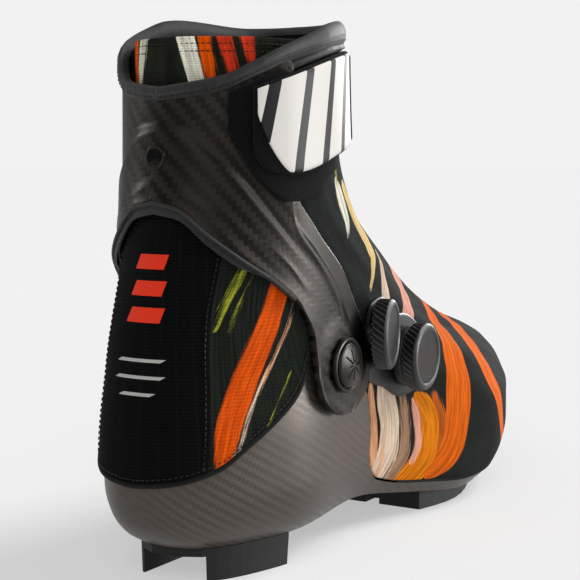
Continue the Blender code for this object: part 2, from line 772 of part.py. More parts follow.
def dial(name, foot, lean):
    cup = turned(name + "_dial_housing", plastic(),
                 [(3.2, 3.0), (4.0, 3.0), (4.0, 6.3), (3.2, 6.3)], (0, 0, 0), steps=20)
    spool = turned(name + "_dial_spool", plastic(),
                   [(0, 3.1), (2.9, 3.1), (2.9, 3.4), (2.2, 3.7), (2.2, 4.3), (2.9, 4.6),
                    (2.9, 4.9), (0, 4.9)], (0, 0, 0), steps=16)
    shaft = turned(name + "_dial_shaft", steel(),
                   [(0, 5.2), (2.0, 5.2), (2.0, 7.6), (0, 7.6)], (0, 0, 0), steps=12)
    knob = turned(name + "_dial_knob", rubber(),
                  [(4.4, 5.8), (12.3, 5.8), (DIAL_RADIUS, 7.4), (DIAL_RADIUS, 10.6),
                   (13.2, 11.7), (11.6, 11.9), (10.8, 11.2), (2.3, 11.2), (2.3, 8.9), (4.4, 8.9)],
                  (0, 0, 0), steps=24)
    cap = turned(name + "_dial_cap", plastic(),
                 [(0, 7.9), (2.0, 7.9), (2.0, 11.5), (0, 11.5)], (0, 0, 0), steps=12)
    for part in (cup, spool, shaft, knob, cap):
        aim_dial(part, foot, lean)


def lace(name, foot, spread, stops, count=40):
    """Cable from a dial over the foot and back, through (turn, height) stops under the fabric."""
    turn = float(turn_at(foot[1], foot[2]))
    start = [(turn, foot[2] + spread, 1.2), (turn, foot[2] + spread, LACE_LAYER)]
    end = [(turn, foot[2] - spread, LACE_LAYER), (turn, foot[2] - spread, 1.2)]
    route = start + [(*stop, LACE_LAYER) for stop in stops] + end
    spots = [skin(t, float(z), np.asarray(out)) for t, z, out in route]
    reach = np.concatenate([[0], np.cumsum(np.linalg.norm(np.diff(spots, axis=0), axis=1))])
    rise = reach[1]
    fine = np.concatenate([[0, rise / 2], np.linspace(rise, reach[-1] - rise, count),
                           [reach[-1] - rise / 2, reach[-1]]])
    turns, z, out = [through(list(zip(reach, [stop[k] for stop in route])), fine)
                     for k in range(3)]
    tube(name, plastic(), skin(turns, z, out), LACE_RADIUS, 1)


def laces():
    lace("instep_lace", UPPER_DIAL[0], 1.3,
         [(90, 98), (118, 112), (150, 122), (180, 125), (210, 122), (240, 118), (248, 110),
          (240, 104), (210, 110), (180, 114), (150, 108), (118, 96), (96, 88)])
    lace("forefoot_lace", LOWER_DIAL[0], 1.3,
         [(101, 82), (125, 93), (150, 100), (180, 103), (210, 99), (238, 90), (249, 81),
          (238, 75), (210, 84), (180, 90), (150, 85), (125, 76), (103, 72)])
    for name, turn, z in (("instep_guide", 240, 111), ("forefoot_guide", 238, 82.5)):
        spot = skin(float(turn), float(z), np.asarray(LACE_LAYER))
        ahead = skin(float(turn), float(z), np.asarray(LACE_LAYER + 1.0)) - spot
        part = turned(name, plastic(), [(0, -0.9), (2.6, -0.9), (2.6, 0.9), (0, 0.9)],
                      spot, steps=16)
        part.rotation_mode = "QUATERNION"
        aim = ahead / np.linalg.norm(ahead)
        from_z = np.cross((0, 0, 1.0), aim)
        part.rotation_quaternion = (1 + aim[2], *from_z)
        part.rotation_quaternion.normalize()


def under(thing, parent):
    """Put a thing under another parent without moving it; both have stood in the layout so far."""
    thing.parent = parent
    thing.location = [a - b for a, b in zip(thing.location, parent.location)]


def hang(name, spot, parts):
    """Stand an empty on a joint's axis and hang the parts that move with it from there."""
    joint = bpy.data.objects.new(name, None)
    Model.parts.objects.link(joint)
    joint.parent = Model.frame
    joint.location = [float(v) * MM for v in spot]
    for part in parts:
        under(bpy.data.objects[part], joint)
    return joint


def joints():
    lean = hang("cuff_lean", (0, PIVOT_Y, PIVOT_Z),
                ("cuff_shell", "cuff_hem_trim", "cuff_rim_trim", "collar_liner", "front_collar",
                 "loop_patch", "rear_eyelet", "strap_pin", "lower_strap_rivet",
                 "upper_strap_rivet"))
    swing = hang("strap_open", strap_spot(STRAP_PIN_TURN, STRAP_INNER + 1.2), ("cuff_strap",))
    peel = hang("strap_peel", strap_spot(STRAP_FOLD_TURN, STRAP_INNER + STRAP_THICK / 2),
                ("strap_tab", "strap_panel"))
    under(peel, swing)
    under(swing, lean)


def main():
    clear_scene()
    Model.parts = collection("cross_country_boot")
    Model.cutters = collection("cutters")
    Model.frame = bpy.data.objects.new("boot_frame", None)
    Model.frame.location = [v * MM for v in FRAME_SHIFT]
    Model.parts.objects.link(Model.frame)
    chassis()
    bootie()
    tongue()
    fabric_upper()
    heel_panel()
    insoles()
    outsoles()
    binding_bar()
    pivots()
    cuff()
    cuff_trims()
    collar()
    front_collar()
    strap()
    strap_tab()
    dial_plate()
    dial("upper", *UPPER_DIAL)
    dial("lower", *LOWER_DIAL)
    laces()
    joints()


main()
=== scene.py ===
"""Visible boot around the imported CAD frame: printed fabric, carbon, dials, sole and studio."""

import math

import bmesh
import bpy
import numpy as np
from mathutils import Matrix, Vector


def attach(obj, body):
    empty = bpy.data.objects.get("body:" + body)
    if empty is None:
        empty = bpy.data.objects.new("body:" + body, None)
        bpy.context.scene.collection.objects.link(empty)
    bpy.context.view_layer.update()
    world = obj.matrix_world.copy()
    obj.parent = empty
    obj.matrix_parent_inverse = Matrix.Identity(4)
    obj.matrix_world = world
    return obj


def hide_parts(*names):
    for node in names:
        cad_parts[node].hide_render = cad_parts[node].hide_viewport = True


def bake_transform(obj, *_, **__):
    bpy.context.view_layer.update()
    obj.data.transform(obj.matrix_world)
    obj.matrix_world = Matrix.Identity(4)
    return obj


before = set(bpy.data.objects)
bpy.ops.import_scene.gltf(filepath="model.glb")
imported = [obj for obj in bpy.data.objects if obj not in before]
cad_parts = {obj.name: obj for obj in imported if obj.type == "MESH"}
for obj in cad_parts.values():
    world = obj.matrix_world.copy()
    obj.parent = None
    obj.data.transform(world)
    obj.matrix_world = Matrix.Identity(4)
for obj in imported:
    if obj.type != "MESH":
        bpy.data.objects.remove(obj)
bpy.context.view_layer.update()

# The layout is the one the CAD uses: millimetres, Y from the heel, Z up, X outward.
SHIFT = np.array([-3.0, -140.9, 0.0])
PIVOT_Y, PIVOT_Z = 66.0, 77.0
ARM_INNER_X = 41.6
CHASSIS_FLAT_X = 38.8
SPLIT_RADIUS, SPLIT_HALF_WIDTH = 86.5, 43.8
CUFF_INNER, CUFF_THICK = 2.5, 1.8
CHASSIS_WALL = 2.2
STRAP_THICK = 1.3
STRAP_PIN_TURN, STRAP_FOLD_TURN, STRAP_TIP_TURN = -62.0, 118.0, 45.0
PIN_TURN, PIN_OUT = -64.6, 5.3
COLLAR_LOW, COLLAR_TOP = 162.0, 200.5
COLLAR_MM_PER_DEGREE = 0.75
REAR_HOLE_Z = 157.0
SOLE_Z = 13.0
UPPER_DIAL = ((39.7, 89.5, 86.5), 16.0)
LOWER_DIAL = ((40.6, 121.0, 74.0), 4.0)
DIAL_RADIUS = 14.2
DIAL_TEETH = 34
BOLT_RAYS = 8
PLATE_ENDS = (87.3, 142.7)

# Start and end points in the frame, between the base and the cuff, paired below with the soft
# pieces.
ANKLE_BEND = ((0, -0.0809, 0.0751), (0, -0.1138, 0.1253))
GUSSET_BEND = ((0, -0.1379, 0.137), (0, -0.131, 0.1455))

BACK = [(13, 5.5), (17, -1), (24, -6.5), (34, -9.5), (46, -10.5), (62, -9.5), (80, -6.5),
        (100, -2.5), (120, 2), (135, 5), (160, 7.5), (215, 8.5)]
FRONT = [(13, 272), (17, 283), (24, 291), (34, 294), (44, 297), (56, 290), (66, 275), (75, 248),
         (84, 214), (98, 179.5), (115, 151), (135, 121), (160, 104), (215, 99)]
HEEL_WIDTH = [(13, 37), (17, 42.5), (24, 47), (34, 50), (52, 50.5), (84, 46.5), (115, 42),
              (135, 40.5), (160, 40), (215, 39.5)]
WAIST_WIDTH = [(13, 30), (20, 33), (32, 35), (52, 36.5), (84, 39.5), (115, 40), (160, 39),
               (215, 39)]
BALL_WIDTH = [(13, 44), (20, 49.5), (30, 52), (44, 51), (56, 47), (66, 43), (75, 40), (84, 38.5),
              (115, 38), (160, 37.5), (215, 37.5)]
TOE_WIDTH = [(13, 38), (20, 44), (30, 47), (44, 46), (56, 42), (66, 38), (75, 35), (84, 34),
             (98, 35), (115, 35.5), (160, 36.5), (215, 37)]
MEDIAL_TRIM = [(13, 0), (85, 0), (130, 0.075), (215, 0.085)]
ROUNDNESS = [(13, 0.72), (60, 0.8), (120, 0.95), (160, 1.0), (215, 1.0)]
CENTRE_LINE = [(0, 0), (120, 0.5), (190, 1.5), (245, -2), (296, -9)]
SOLE_RISE = [(0, 0), (45, 0), (95, 3), (140, -2), (175, -5.5), (235, -5), (275, -1), (296, 3)]
STATIONS = (0.14, 0.38, 0.66, 0.88)

# Outlines on the surface: (turn in degrees from the heel back, height).
CHASSIS_TOP = [(0, 49), (25, 55), (40, 70), (50, 84), (60, 92), (68, 92), (72.5, 86), (73.6, 70),
               (74.1, 52), (74.6, 36), (75.4, 26.5), (78.5, 19.5), (86, 17.6), (180, 17.6)]
PANEL_HEM = [(0, 39), (13, 41), (25, 45), (34, 53), (40, 59), (46, 66), (53, 76), (62, 90)]
PANEL_SEAM = [(39, 21), (44, 22), (71, 24), (96, 26), (125, 32), (140, 34)]
CUFF_LOWER = [(0, 140), (12, 138), (25, 129), (38, 120), (50, 111), (58, 101), (59.5, 92),
              (57, 82), (54, 73), (53.5, 66), (55.5, 60.5), (59, 57.5)]
CUFF_UPPER = [(0, 179), (20, 180.5), (45, 187), (62, 193), (66, 190), (66, 165), (64, 148),
              (74, 130), (82, 112), (83, 97), (80, 83), (74.5, 71), (70, 62), (65, 57.5)]
RIM_HEIGHT = [(0, 179), (12, 180), (33, 183), (44, 187), (60, 193), (79, 198), (96, 202),
              (130, 205), (180, 206)]
LEDGE = [(0, 167), (12, 165.5), (27, 156), (38, 149), (52, 134), (70, 110)]
FLARE_LINE = [(0, 148), (28, 137), (43, 128), (55, 119), (62, 108)]
STRAP_LOW = [(44, 160), (50, 153), (62, 151), (96, 158), (130, 163), (180, 165)]
STRAP_HIGH = [(44, 181), (60, 186), (96, 195), (130, 199), (180, 200)]
LOOP_LOW = [(34, 168), (42, 155), (52, 145), (60, 141), (66, 141), (80, 146), (96, 152)]
PLATE_LOW = [(87, 72), (95, 66), (108, 62), (121, 56.5), (134, 59), (143, 68)]
PLATE_HIGH = [(87, 84), (92, 98), (103, 100), (115, 92), (126, 91), (137, 86), (143, 76)]

# Paint, as straight-from-the-tube linear colours.
LIME = (0.42, 0.44, 0.03)
PEACH = (1.0, 0.46, 0.25)
CREAM = (1.0, 0.70, 0.54)
BONE = (0.92, 0.86, 0.70)
STRAW = (1.0, 0.66, 0.27)
PINK = (1.0, 0.43, 0.32)
TAN = (0.42, 0.24, 0.15)
UMBER = (0.035, 0.018, 0.012)
ORANGE = (1.0, 0.155, 0.002)
AMBER = (1.0, 0.25, 0.002)
DEEP_ORANGE = (1.0, 0.105, 0.001)
BURNT = (0.62, 0.13, 0.012)
RED_ORANGE = (0.80, 0.05, 0.012)

# Brush strokes: colour, how broken by bristles, and a path of (Y, Z, half width).
UPPER_STROKES = (
    (BURNT, 0.75, ((147, 53, 3.5), (150, 40, 5), (149, 31, 5), (144, 23, 4))),
    (TAN, 0.85, ((122, 62, 3), (126, 50, 3.8), (128, 40, 4.3), (127, 31, 5), (123, 24, 5.5),
                 (118, 18, 5))),
    (PEACH, 0.15, ((98, 68, 1.4), (101, 56, 3), (104, 46, 3.7), (106, 34, 4), (107, 24, 3.5),
                   (106, 16, 2.5))),
    (ORANGE, 0.6, ((102, 62, 0.7), (105, 50, 1.1), (108, 40, 1.2), (109, 28, 1.4),
                   (108, 18, 1.6))),
    (CREAM, 0.2, ((109, 68, 5.5), (113, 56, 6.8), (117, 44, 7), (117, 34, 7), (113, 25, 6),
                  (109, 17, 4.5))),
    (PEACH, 0.7, ((112, 50, 1.2), (114, 40, 1.6), (113, 28, 2.2), (110, 18, 2.5))),
    (UMBER, 0.8, ((119, 62, 0.8), (122, 50, 1.0), (123, 38, 1.1), (121, 27, 1.3), (116, 18, 1.2))),
    (UMBER, 0.6, ((126, 60, 0.6), (129, 48, 0.8), (130, 37, 0.8), (127, 26, 1.0))),
    (CREAM, 0.7, ((122, 52, 0.5), (125, 40, 1.0), (123, 28, 1.2), (118, 19, 1.2))),
    (AMBER, 0.25, ((134, 55, 2.5), (139, 48, 7), (142, 40, 7.4), (141, 31, 7.4),
                    (136, 23, 7.5), (129, 16, 6))),
    (PINK, 0.35, ((132, 54, 1.6), (135, 45, 2.8), (136, 36, 2.6), (133, 27, 2))),
    (LIME, 0.5, ((95, 73, 0.9), (97, 56, 0.9), (98, 45, 1.0), (100, 33, 0.7))),
    (ORANGE, 0.08, ((186, 98, 3), (177, 88, 5), (172, 80, 7.5), (170, 71, 9.5), (168, 62, 10),
                    (164, 50, 9.4), (161, 40, 8.2), (157, 31, 7), (151, 25, 5), (145, 21, 3))),
    (ORANGE, 0.08, ((200, 90, 4), (203, 80, 6.5), (204, 72, 8.5), (203, 64, 9.0),
                    (204, 54, 8.6), (209, 44, 7.6), (217, 34, 6.5), (227, 24, 4.5))),
    (BONE, 0.55, ((70, 148, 2), (73, 143, 4), (76, 138, 4.5), (79, 131, 3), (77, 126, 1.2))),
    (STRAW, 0.12, ((80, 146, 3), (88, 138, 4.6), (96, 130, 5.6), (102, 123.5, 5.8),
                   (104, 117, 3.6), (100, 110, 2.2), (96, 104, 1.4))),
    (CREAM, 0.35, ((116, 117, 2.4), (113.5, 111, 3.0), (113, 107, 3.4), (112, 102, 4.6),
                   (112, 94, 5.0), (113, 85, 4))),
    (PINK, 0.06, ((138, 122, 4), (141, 114, 5.6), (142, 107, 6.2), (142, 100, 6.4),
                  (138, 94, 6), (131, 88, 5))),
    (LIME, 0.5, ((69, 156, 1.6), (71, 150, 1.6), (71, 145, 0.8))),
)
PANEL_STROKES = (
    (DEEP_ORANGE, 0.3, ((35, 119, 4.4), (28, 103, 4.8), (21, 89, 5.2), (14, 75, 5.4), (8, 62, 5),
                   (5, 50, 3.6), (3, 39, 2))),
    (PEACH, 0.7, ((41, 109, 1), (34, 96, 1.4), (26, 83, 1.2), (19, 71, 1.2))),
    (CREAM, 0.5, ((22, 78, 0.7), (14, 62, 1.4), (10, 51, 1.4), (6, 40, 1.2))),
    (LIME, 0.6, ((18, 118, 1.5), (12, 107, 1.8), (6, 95, 1.2))),
    (LIME, 0.65, ((23, 118, 1.2), (16, 106, 1.3), (10, 94, 0.8))),
    (LIME, 0.3, ((34, 78, 0.7), (26, 65, 0.7), (19, 53, 0.6))),
)
# The collar's strokes use COLLAR_MM_PER_DEGREE of turn in place of Y.
COLLAR_STROKES = (
    (BONE, 0.55, ((-13, 212, 4.5), (-16, 200, 4), (-19, 184, 3))),
    (DEEP_ORANGE, 0.7, ((-27, 212, 6), (-25, 200, 4.5), (-23, 184, 3.5))),
    (BONE, 0.35, ((5, 212, 4.2), (9, 200, 4.4), (14, 184, 3.8))),
    (DEEP_ORANGE, 0.55, ((13, 212, 4), (17, 200, 3.6), (20, 184, 3))),
    (RED_ORANGE, 0.6, ((22, 212, 4.2), (25, 200, 3.8), (29, 186, 3))),
    (RED_ORANGE, 0.75, ((31, 212, 4), (34, 200, 3.4), (36, 190, 2.4))),
)


# ---------------------------------------------------------------- surface

def through(points, at):
    """Smooth curve through (position, value) points that never overshoots them."""
    x = np.array([p[0] for p in points], float)
    y = np.array([p[1] for p in points], float)
    step = np.diff(x)
    rise = np.diff(y) / step
    slope = np.zeros_like(y)
    slope[0], slope[-1] = rise[0], rise[-1]
    for i in range(1, len(x) - 1):
        if rise[i - 1] * rise[i] > 0:
            a = 2 * step[i] + step[i - 1]
            b = step[i] + 2 * step[i - 1]
            slope[i] = (a + b) / (a / rise[i - 1] + b / rise[i])
    at = np.clip(np.asarray(at, float), x[0], x[-1])
    i = np.clip(np.searchsorted(x, at, side="right") - 1, 0, len(step) - 1)
    u = (at - x[i]) / step[i]
    start = y[i] * (1 + 2 * u) + step[i] * slope[i] * u
    end = y[i + 1] * (3 - 2 * u) + step[i] * slope[i + 1] * (u - 1)
    return start * (1 - u) ** 2 + end * u * u


def ease(value):
    """Smooth step from 0 to 1."""
    value = np.clip(value, 0.0, 1.0)
    return value * value * (3 - 2 * value)


def between(low, high, share):
    """Grid whose rows lie at shares of the way from low to high."""
    return low + (high - low) * share[:, None]


def half_width(along, z):
    """Half the boot's width at a share along its length."""
    widths = [through(w, z) for w in (HEEL_WIDTH, WAIST_WIDTH, BALL_WIDTH, TOE_WIDTH)]
    width = widths[0]
    for i in range(3):
        share = ease((along - STATIONS[i]) / (STATIONS[i + 1] - STATIONS[i]))
        width = width + (widths[i + 1] - widths[i]) * share
    angle = np.arccos(1 - 2 * along)
    return width * np.sin(angle) ** through(ROUNDNESS, z)


def plain_skin(turn, z):
    """Point on the reference surface itself."""
    turn = np.radians(np.asarray(turn, float))
    turn, z = np.broadcast_arrays(turn, np.asarray(z, float))
    along = (1 - np.cos(turn)) / 2
    back = through(BACK, z)
    y = back + along * (through(FRONT, z) - back)
    side = np.where(np.sin(turn) < 0, through(MEDIAL_TRIM, z) - 1.0, 1.0)
    x = through(CENTRE_LINE, y) + side * half_width(along, z)
    rise = through(SOLE_RISE, y) * (1 - ease((z - 20) / 26))
    return np.stack([x, y, z + rise], -1)


def skin(turn, z, out=0.0):
    """Point at a distance out from the boot's reference surface."""
    turn, z = np.asarray(turn, float), np.asarray(z, float)
    across = plain_skin(turn + 0.7, z) - plain_skin(turn - 0.7, z)
    up = plain_skin(turn, z + 0.4) - plain_skin(turn, z - 0.4)
    normal = np.cross(across, up)
    normal[..., 2] *= ease((z - 18) / 16)
    normal /= np.linalg.norm(normal, axis=-1, keepdims=True)
    return plain_skin(turn, z) + normal * np.asarray(out, float)[..., None]


def turn_at(y, z):
    """Turn at which the outer side of the surface reaches a place along the boot."""
    back = through(BACK, z)
    along = np.clip((y - back) / (through(FRONT, z) - back), 0, 1)
    return np.degrees(np.arccos(1 - 2 * along))


def split_height(turn, out):
    """Height at which the surface crosses the rounded split about the ankle pivot."""
    low = np.full(np.shape(turn), PIVOT_Z)
    high = np.full(np.shape(turn), 200.0)
    for _ in range(24):
        middle = (low + high) / 2
        x, y, z = np.moveaxis(skin(turn, middle, out), -1, 0)
        reach = np.hypot(y - PIVOT_Y, z - PIVOT_Z) / SPLIT_RADIUS
        inside = (x / SPLIT_HALF_WIDTH) ** 2 + reach ** 2 < 1
        low = np.where(inside, middle, low)
        high = np.where(inside, high, middle)
    return low


def fold(turn):
    """Turn counted from the heel back to the toe on either side, 0 to 180."""
    turn = np.abs(np.asarray(turn, float)) % 360
    return np.minimum(turn, 360 - turn)


def flatten(points, plane_x, radius):
    """Press the part of a surface near the pivot flat, square to the pivot line."""
    reach = np.hypot(points[..., 1] - PIVOT_Y, points[..., 2] - PIVOT_Z)
    share = 1 - ease((reach - radius) / 9)
    flat = np.sign(points[..., 0]) * plane_x
    points[..., 0] += (flat - points[..., 0]) * share
    return points


ARC_TURNS = np.arange(-400.0, 400.5, 0.5)
ARC_STEPS = np.linalg.norm(np.diff(plain_skin(ARC_TURNS, 110.0), axis=0), axis=1)
ARC_LENGTHS = np.concatenate([[0.0], np.cumsum(ARC_STEPS)])
ARC_LENGTHS -= np.interp(0.0, ARC_TURNS, ARC_LENGTHS)


def arc(turn):
    """Distance round the boot from the heel back, so that a weave keeps its scale."""
    return np.interp(turn, ARC_TURNS, ARC_LENGTHS)


# ---------------------------------------------------------------- materials

class Look:
    """A procedural material while its nodes are being wired."""

    def __init__(self, name, rough, metal=0.0, **sockets):
        self.material = bpy.data.materials.new(name)
        self.material.use_nodes = True
        self.tree = self.material.node_tree
        self.shader = self.tree.nodes["Principled BSDF"]
        self.put("Roughness", rough)
        self.put("Metallic", metal)
        for socket, value in sockets.items():
            self.put(socket.replace("_", " "), value)

    def feed(self, socket, value):
        if isinstance(value, bpy.types.NodeSocket):
            self.tree.links.new(value, socket)
        elif isinstance(value, tuple) and len(value) == 3 and socket.type == "RGBA":
            socket.default_value = (*value, 1.0)
        else:
            socket.default_value = value

    def put(self, socket, value):
        self.feed(self.shader.inputs[socket], value)

    def node(self, kind, inputs, out=0, **settings):
        made = self.tree.nodes.new(kind)
        for name, value in settings.items():
            setattr(made, name, value)
        for key, value in inputs.items():
            self.feed(made.inputs[key], value)
        return made.outputs[out]

    def math(self, operation, *values):
        return self.node("ShaderNodeMath", dict(enumerate(values)), operation=operation)

    def named(self, name):
        return self.node("ShaderNodeAttribute", {}, "Vector", attribute_name=name)

    def point(self):
        return self.node("ShaderNodeTexCoord", {}, "Object")

    def split(self, vector):
        made = self.tree.nodes.new("ShaderNodeSeparateXYZ")
        self.feed(made.inputs[0], vector)
        return made.outputs

    def join(self, x=0.0, y=0.0, z=0.0):
        return self.node("ShaderNodeCombineXYZ", {0: x, 1: y, 2: z})

    def scaled(self, vector, factors):
        return self.node("ShaderNodeVectorMath", {0: vector, 1: factors}, operation="MULTIPLY")

    def noise(self, vector, factors, detail=2.0, rough=0.5):
        place = self.scaled(vector, factors)
        return self.node("ShaderNodeTexNoise", {"Vector": place, "Scale": 1.0, "Detail": detail,
                                                "Roughness": rough})

    def ramp(self, value, low, high, to_low=0.0, to_high=1.0):
        return self.node("ShaderNodeMapRange", {0: value, 1: low, 2: high, 3: to_low, 4: to_high},
                         interpolation_type="SMOOTHSTEP")

    def mix(self, share, first, second):
        return self.node("ShaderNodeMix", {0: share, 6: first, 7: second}, 2, data_type="RGBA")

    def bump(self, height, distance, strength):
        self.put("Normal", self.node("ShaderNodeBump", {"Height": height, "Distance": distance,
                                                        "Strength": strength}))


def lifted(colour, times, plus=0.0):
    """A colour made lighter or darker."""
    return tuple(min(1.0, c * times + plus) for c in colour)


def wave(look, value, pitch):
    """Smooth 0 to 1 ridges with a pitch."""
    turned = look.math("MULTIPLY", value, 2 * math.pi / pitch)
    return look.math("MULTIPLY_ADD", look.math("SINE", turned), 0.5, 0.5)


def twill(name, tow, dark, light, rough, depth, specular, fade_band=None):
    """Two-by-two carbon twill in resin: tow is the width of one bundle in mm."""
    look = Look(name, rough, Specular_IOR_Level=specular, Specular_Tint=(1.0, 0.86, 0.76))
    flat = look.named("flat")
    u, v, far = look.split(flat)
    u = look.math("DIVIDE", u, tow)
    v = look.math("DIVIDE", v, tow)
    cell = look.math("ADD", look.math("FLOOR", u), look.math("FLOOR", v))
    upright = look.math("LESS_THAN", look.math("FLOORED_MODULO", cell, 4.0), 1.5)
    across = look.node("ShaderNodeMix", {0: upright, 2: look.math("FRACT", v),
                                         3: look.math("FRACT", u)}, 0)
    crown = look.math("MULTIPLY", across, look.math("SUBTRACT", 1.0, across))
    fibres = look.noise(flat, (2.2, 2.2, 1.0), 3.0)
    clouds = look.noise(look.point(), (28.0, 28.0, 28.0), 2.0)
    contrast = look.ramp(clouds, 0.3, 0.75, 0.45, 1.0)
    if fade_band:
        contrast = look.math("MULTIPLY", contrast, look.ramp(far, *fade_band, 0.0, 1.0))
    share = look.math("MULTIPLY", upright, contrast)
    colour = look.mix(share, dark, light)
    colour = look.mix(look.ramp(fibres, 0.35, 0.7, 0.0, 0.25), colour, (0.012, 0.011, 0.011))
    look.put("Base Color", colour)
    look.put("Roughness", look.ramp(share, 0.0, 1.0, rough - 0.04, rough + 0.06))
    look.bump(look.math("MULTIPLY", crown, contrast), depth, 0.5)
    return look.material


def weave(look, flat, pitch):
    """Height of a plain weave with a pitch in mm."""
    u, v, _ = look.split(flat)
    return look.math("MULTIPLY", wave(look, u, pitch), wave(look, v, pitch))


def painted(name, base, strokes, rib=None, seam=False):
    """Black shell fabric printed with brush strokes that the mesh carries as attributes."""
    look = Look(name, 0.85, Specular_IOR_Level=0.06)
    flat = look.named("flat")
    grime = look.noise(flat, (0.06, 0.03, 1.0), 4.0, 0.6)
    threads = look.noise(flat, (0.35, 2.6, 1.0), 3.0)
    colour = look.mix(look.ramp(grime, 0.3, 0.75), base, lifted(base, 2.6, 0.004))
    colour = look.mix(look.ramp(threads, 0.52, 0.8, 0.0, 0.3), colour, (0.030, 0.036, 0.031))
    for k, (paint, broken, _) in enumerate(strokes):
        inside, across, along = look.split(look.named(f"stroke{k}"))
        place = look.join(look.math("MULTIPLY", across, 0.9), look.math("MULTIPLY", along, 0.045),
                          3.7 * k + 1.3)
        bristle = look.node("ShaderNodeTexNoise", {"Vector": place, "Scale": 1.0, "Detail": 4.0,
                                                   "Roughness": 0.72})
        ragged = look.math("MULTIPLY_ADD", look.math("SUBTRACT", bristle, 0.56), 9.0 * broken,
                           inside)
        cover = look.ramp(ragged, -0.05, 0.45 + 1.5 * broken)
        tone = look.mix(look.ramp(bristle, 0.3, 0.72), lifted(paint, 0.5),
                        lifted(paint, 1.16, 0.001))
        colour = look.mix(cover, colour, tone)
    height = weave(look, flat, 0.62)
    if rib or seam:
        u, v, edge = look.split(flat)
    if rib:
        ribs = wave(look, v, rib)
        height = look.math("MULTIPLY_ADD", ribs, 1.4, height)
        dim = look.ramp(ribs, 0.0, 0.4, 0.82, 1.0)
        colour = look.mix(dim, lifted(base, 0.5), colour)
    if seam:
        black = look.mix(look.ramp(wave(look, v, 1.25), 0.0, 0.6), (0.0006, 0.0007, 0.0007),
                         (0.0026, 0.0028, 0.003))
        u_lines = look.ramp(wave(look, u, 5.0), 0.93, 1.0, 0.0, 0.5)
        black = look.mix(u_lines, black, (0.005, 0.0053, 0.0056))
        rear = look.ramp(edge, -0.15, 0.15)
        colour = look.mix(rear, colour, black)
        height = look.math("MULTIPLY_ADD", look.math("MULTIPLY", wave(look, v, 1.25), rear), 2.2,
                           height)
        height = look.math("MULTIPLY_ADD", rear, 3.0, height)
    look.put("Base Color", colour)
    look.bump(height, 0.00016, 0.55)
    return look.material


def cloth_look(name, base, pitch, rough=0.8, diagonal=0.0, sheen=0.02, specular=0.2):
    """Plain black woven or grained cloth."""
    look = Look(name, rough, Specular_IOR_Level=specular, Sheen_Weight=sheen)
    flat = look.named("flat")
    u, v, _ = look.split(flat)
    slant = look.math("MULTIPLY_ADD", u, diagonal, v)
    ribs = wave(look, slant, pitch)
    grain = look.noise(flat, (1.1, 1.1, 1.0), 4.0, 0.6)
    colour = look.mix(look.math("MULTIPLY", ribs, grain), base, lifted(base, 3.0, 0.002))
    wear = look.noise(look.point(), (60.0, 60.0, 60.0), 3.0)
    colour = look.mix(look.ramp(wear, 0.5, 0.8, 0.0, 0.3), colour, (0.020, 0.018, 0.017))
    look.put("Base Color", colour)
    look.bump(look.math("ADD", ribs, grain), 0.0003, 0.7)
    return look.material


def fuzz_look():
    """Loop side of hook-and-loop: deep black with stray loops that catch the light."""
    look = Look("loop_pile", 0.95, Specular_IOR_Level=0.1, Sheen_Weight=0.05)
    flat = look.named("flat")
    fine = look.noise(flat, (3.2, 3.2, 1.0), 5.0, 0.75)
    tufts = look.noise(flat, (1.2, 1.2, 1.0), 3.0, 0.6)
    colour = look.mix(look.ramp(fine, 0.5, 0.8), (0.0004, 0.0004, 0.0005), (0.009, 0.0085, 0.010))
    look.put("Base Color", colour)
    look.bump(look.math("ADD", fine, tufts), 0.0007, 0.9)
    return look.material


def plain_look(name, base, rough, grain=900.0, depth=0.00005, metal=0.0, scuff=0.25, **sockets):
    """Moulded plastic, rubber or metal with fine grain, scuffs and uneven gloss."""
    look = Look(name, rough, metal, **sockets)
    spot = look.point()
    fine = look.noise(spot, (grain, grain, grain), 2.0)
    broad = look.noise(spot, (45.0, 45.0, 45.0), 4.0, 0.6)
    look.put("Base Color", look.mix(look.ramp(broad, 0.42, 0.8, 0.0, scuff), base,
                                    lifted(base, 1.9, 0.006)))
    look.put("Roughness", look.ramp(broad, 0.3, 0.75, rough - 0.06, rough + 0.1))
    look.bump(fine, depth, 0.6)
    return look.material


def strap_look():
    """Satin strap end: charcoal with plain slanted pale bars across it."""
    look = Look("strap_print", 0.45, Specular_IOR_Level=0.16)
    flat = look.named("flat")
    u, v, _ = look.split(flat)
    slant = look.math("MULTIPLY_ADD", v, -0.30, u)
    beat = look.math("FLOORED_MODULO", look.math("ADD", slant, 7.0), 22.0)
    bar = look.math("MULTIPLY", look.ramp(beat, 5.9, 6.1), look.ramp(beat, 21.7, 21.9, 1.0, 0.0))
    grain = look.noise(flat, (1.6, 1.6, 1.0), 3.0)
    dark = look.mix(grain, (0.009, 0.0085, 0.0095), (0.017, 0.016, 0.018))
    pale = look.mix(grain, (0.74, 0.70, 0.65), (0.84, 0.80, 0.76))
    look.put("Base Color", look.mix(bar, dark, pale))
    look.bump(look.math("MULTIPLY_ADD", grain, 0.35, bar), 0.00008, 0.5)
    return look.material


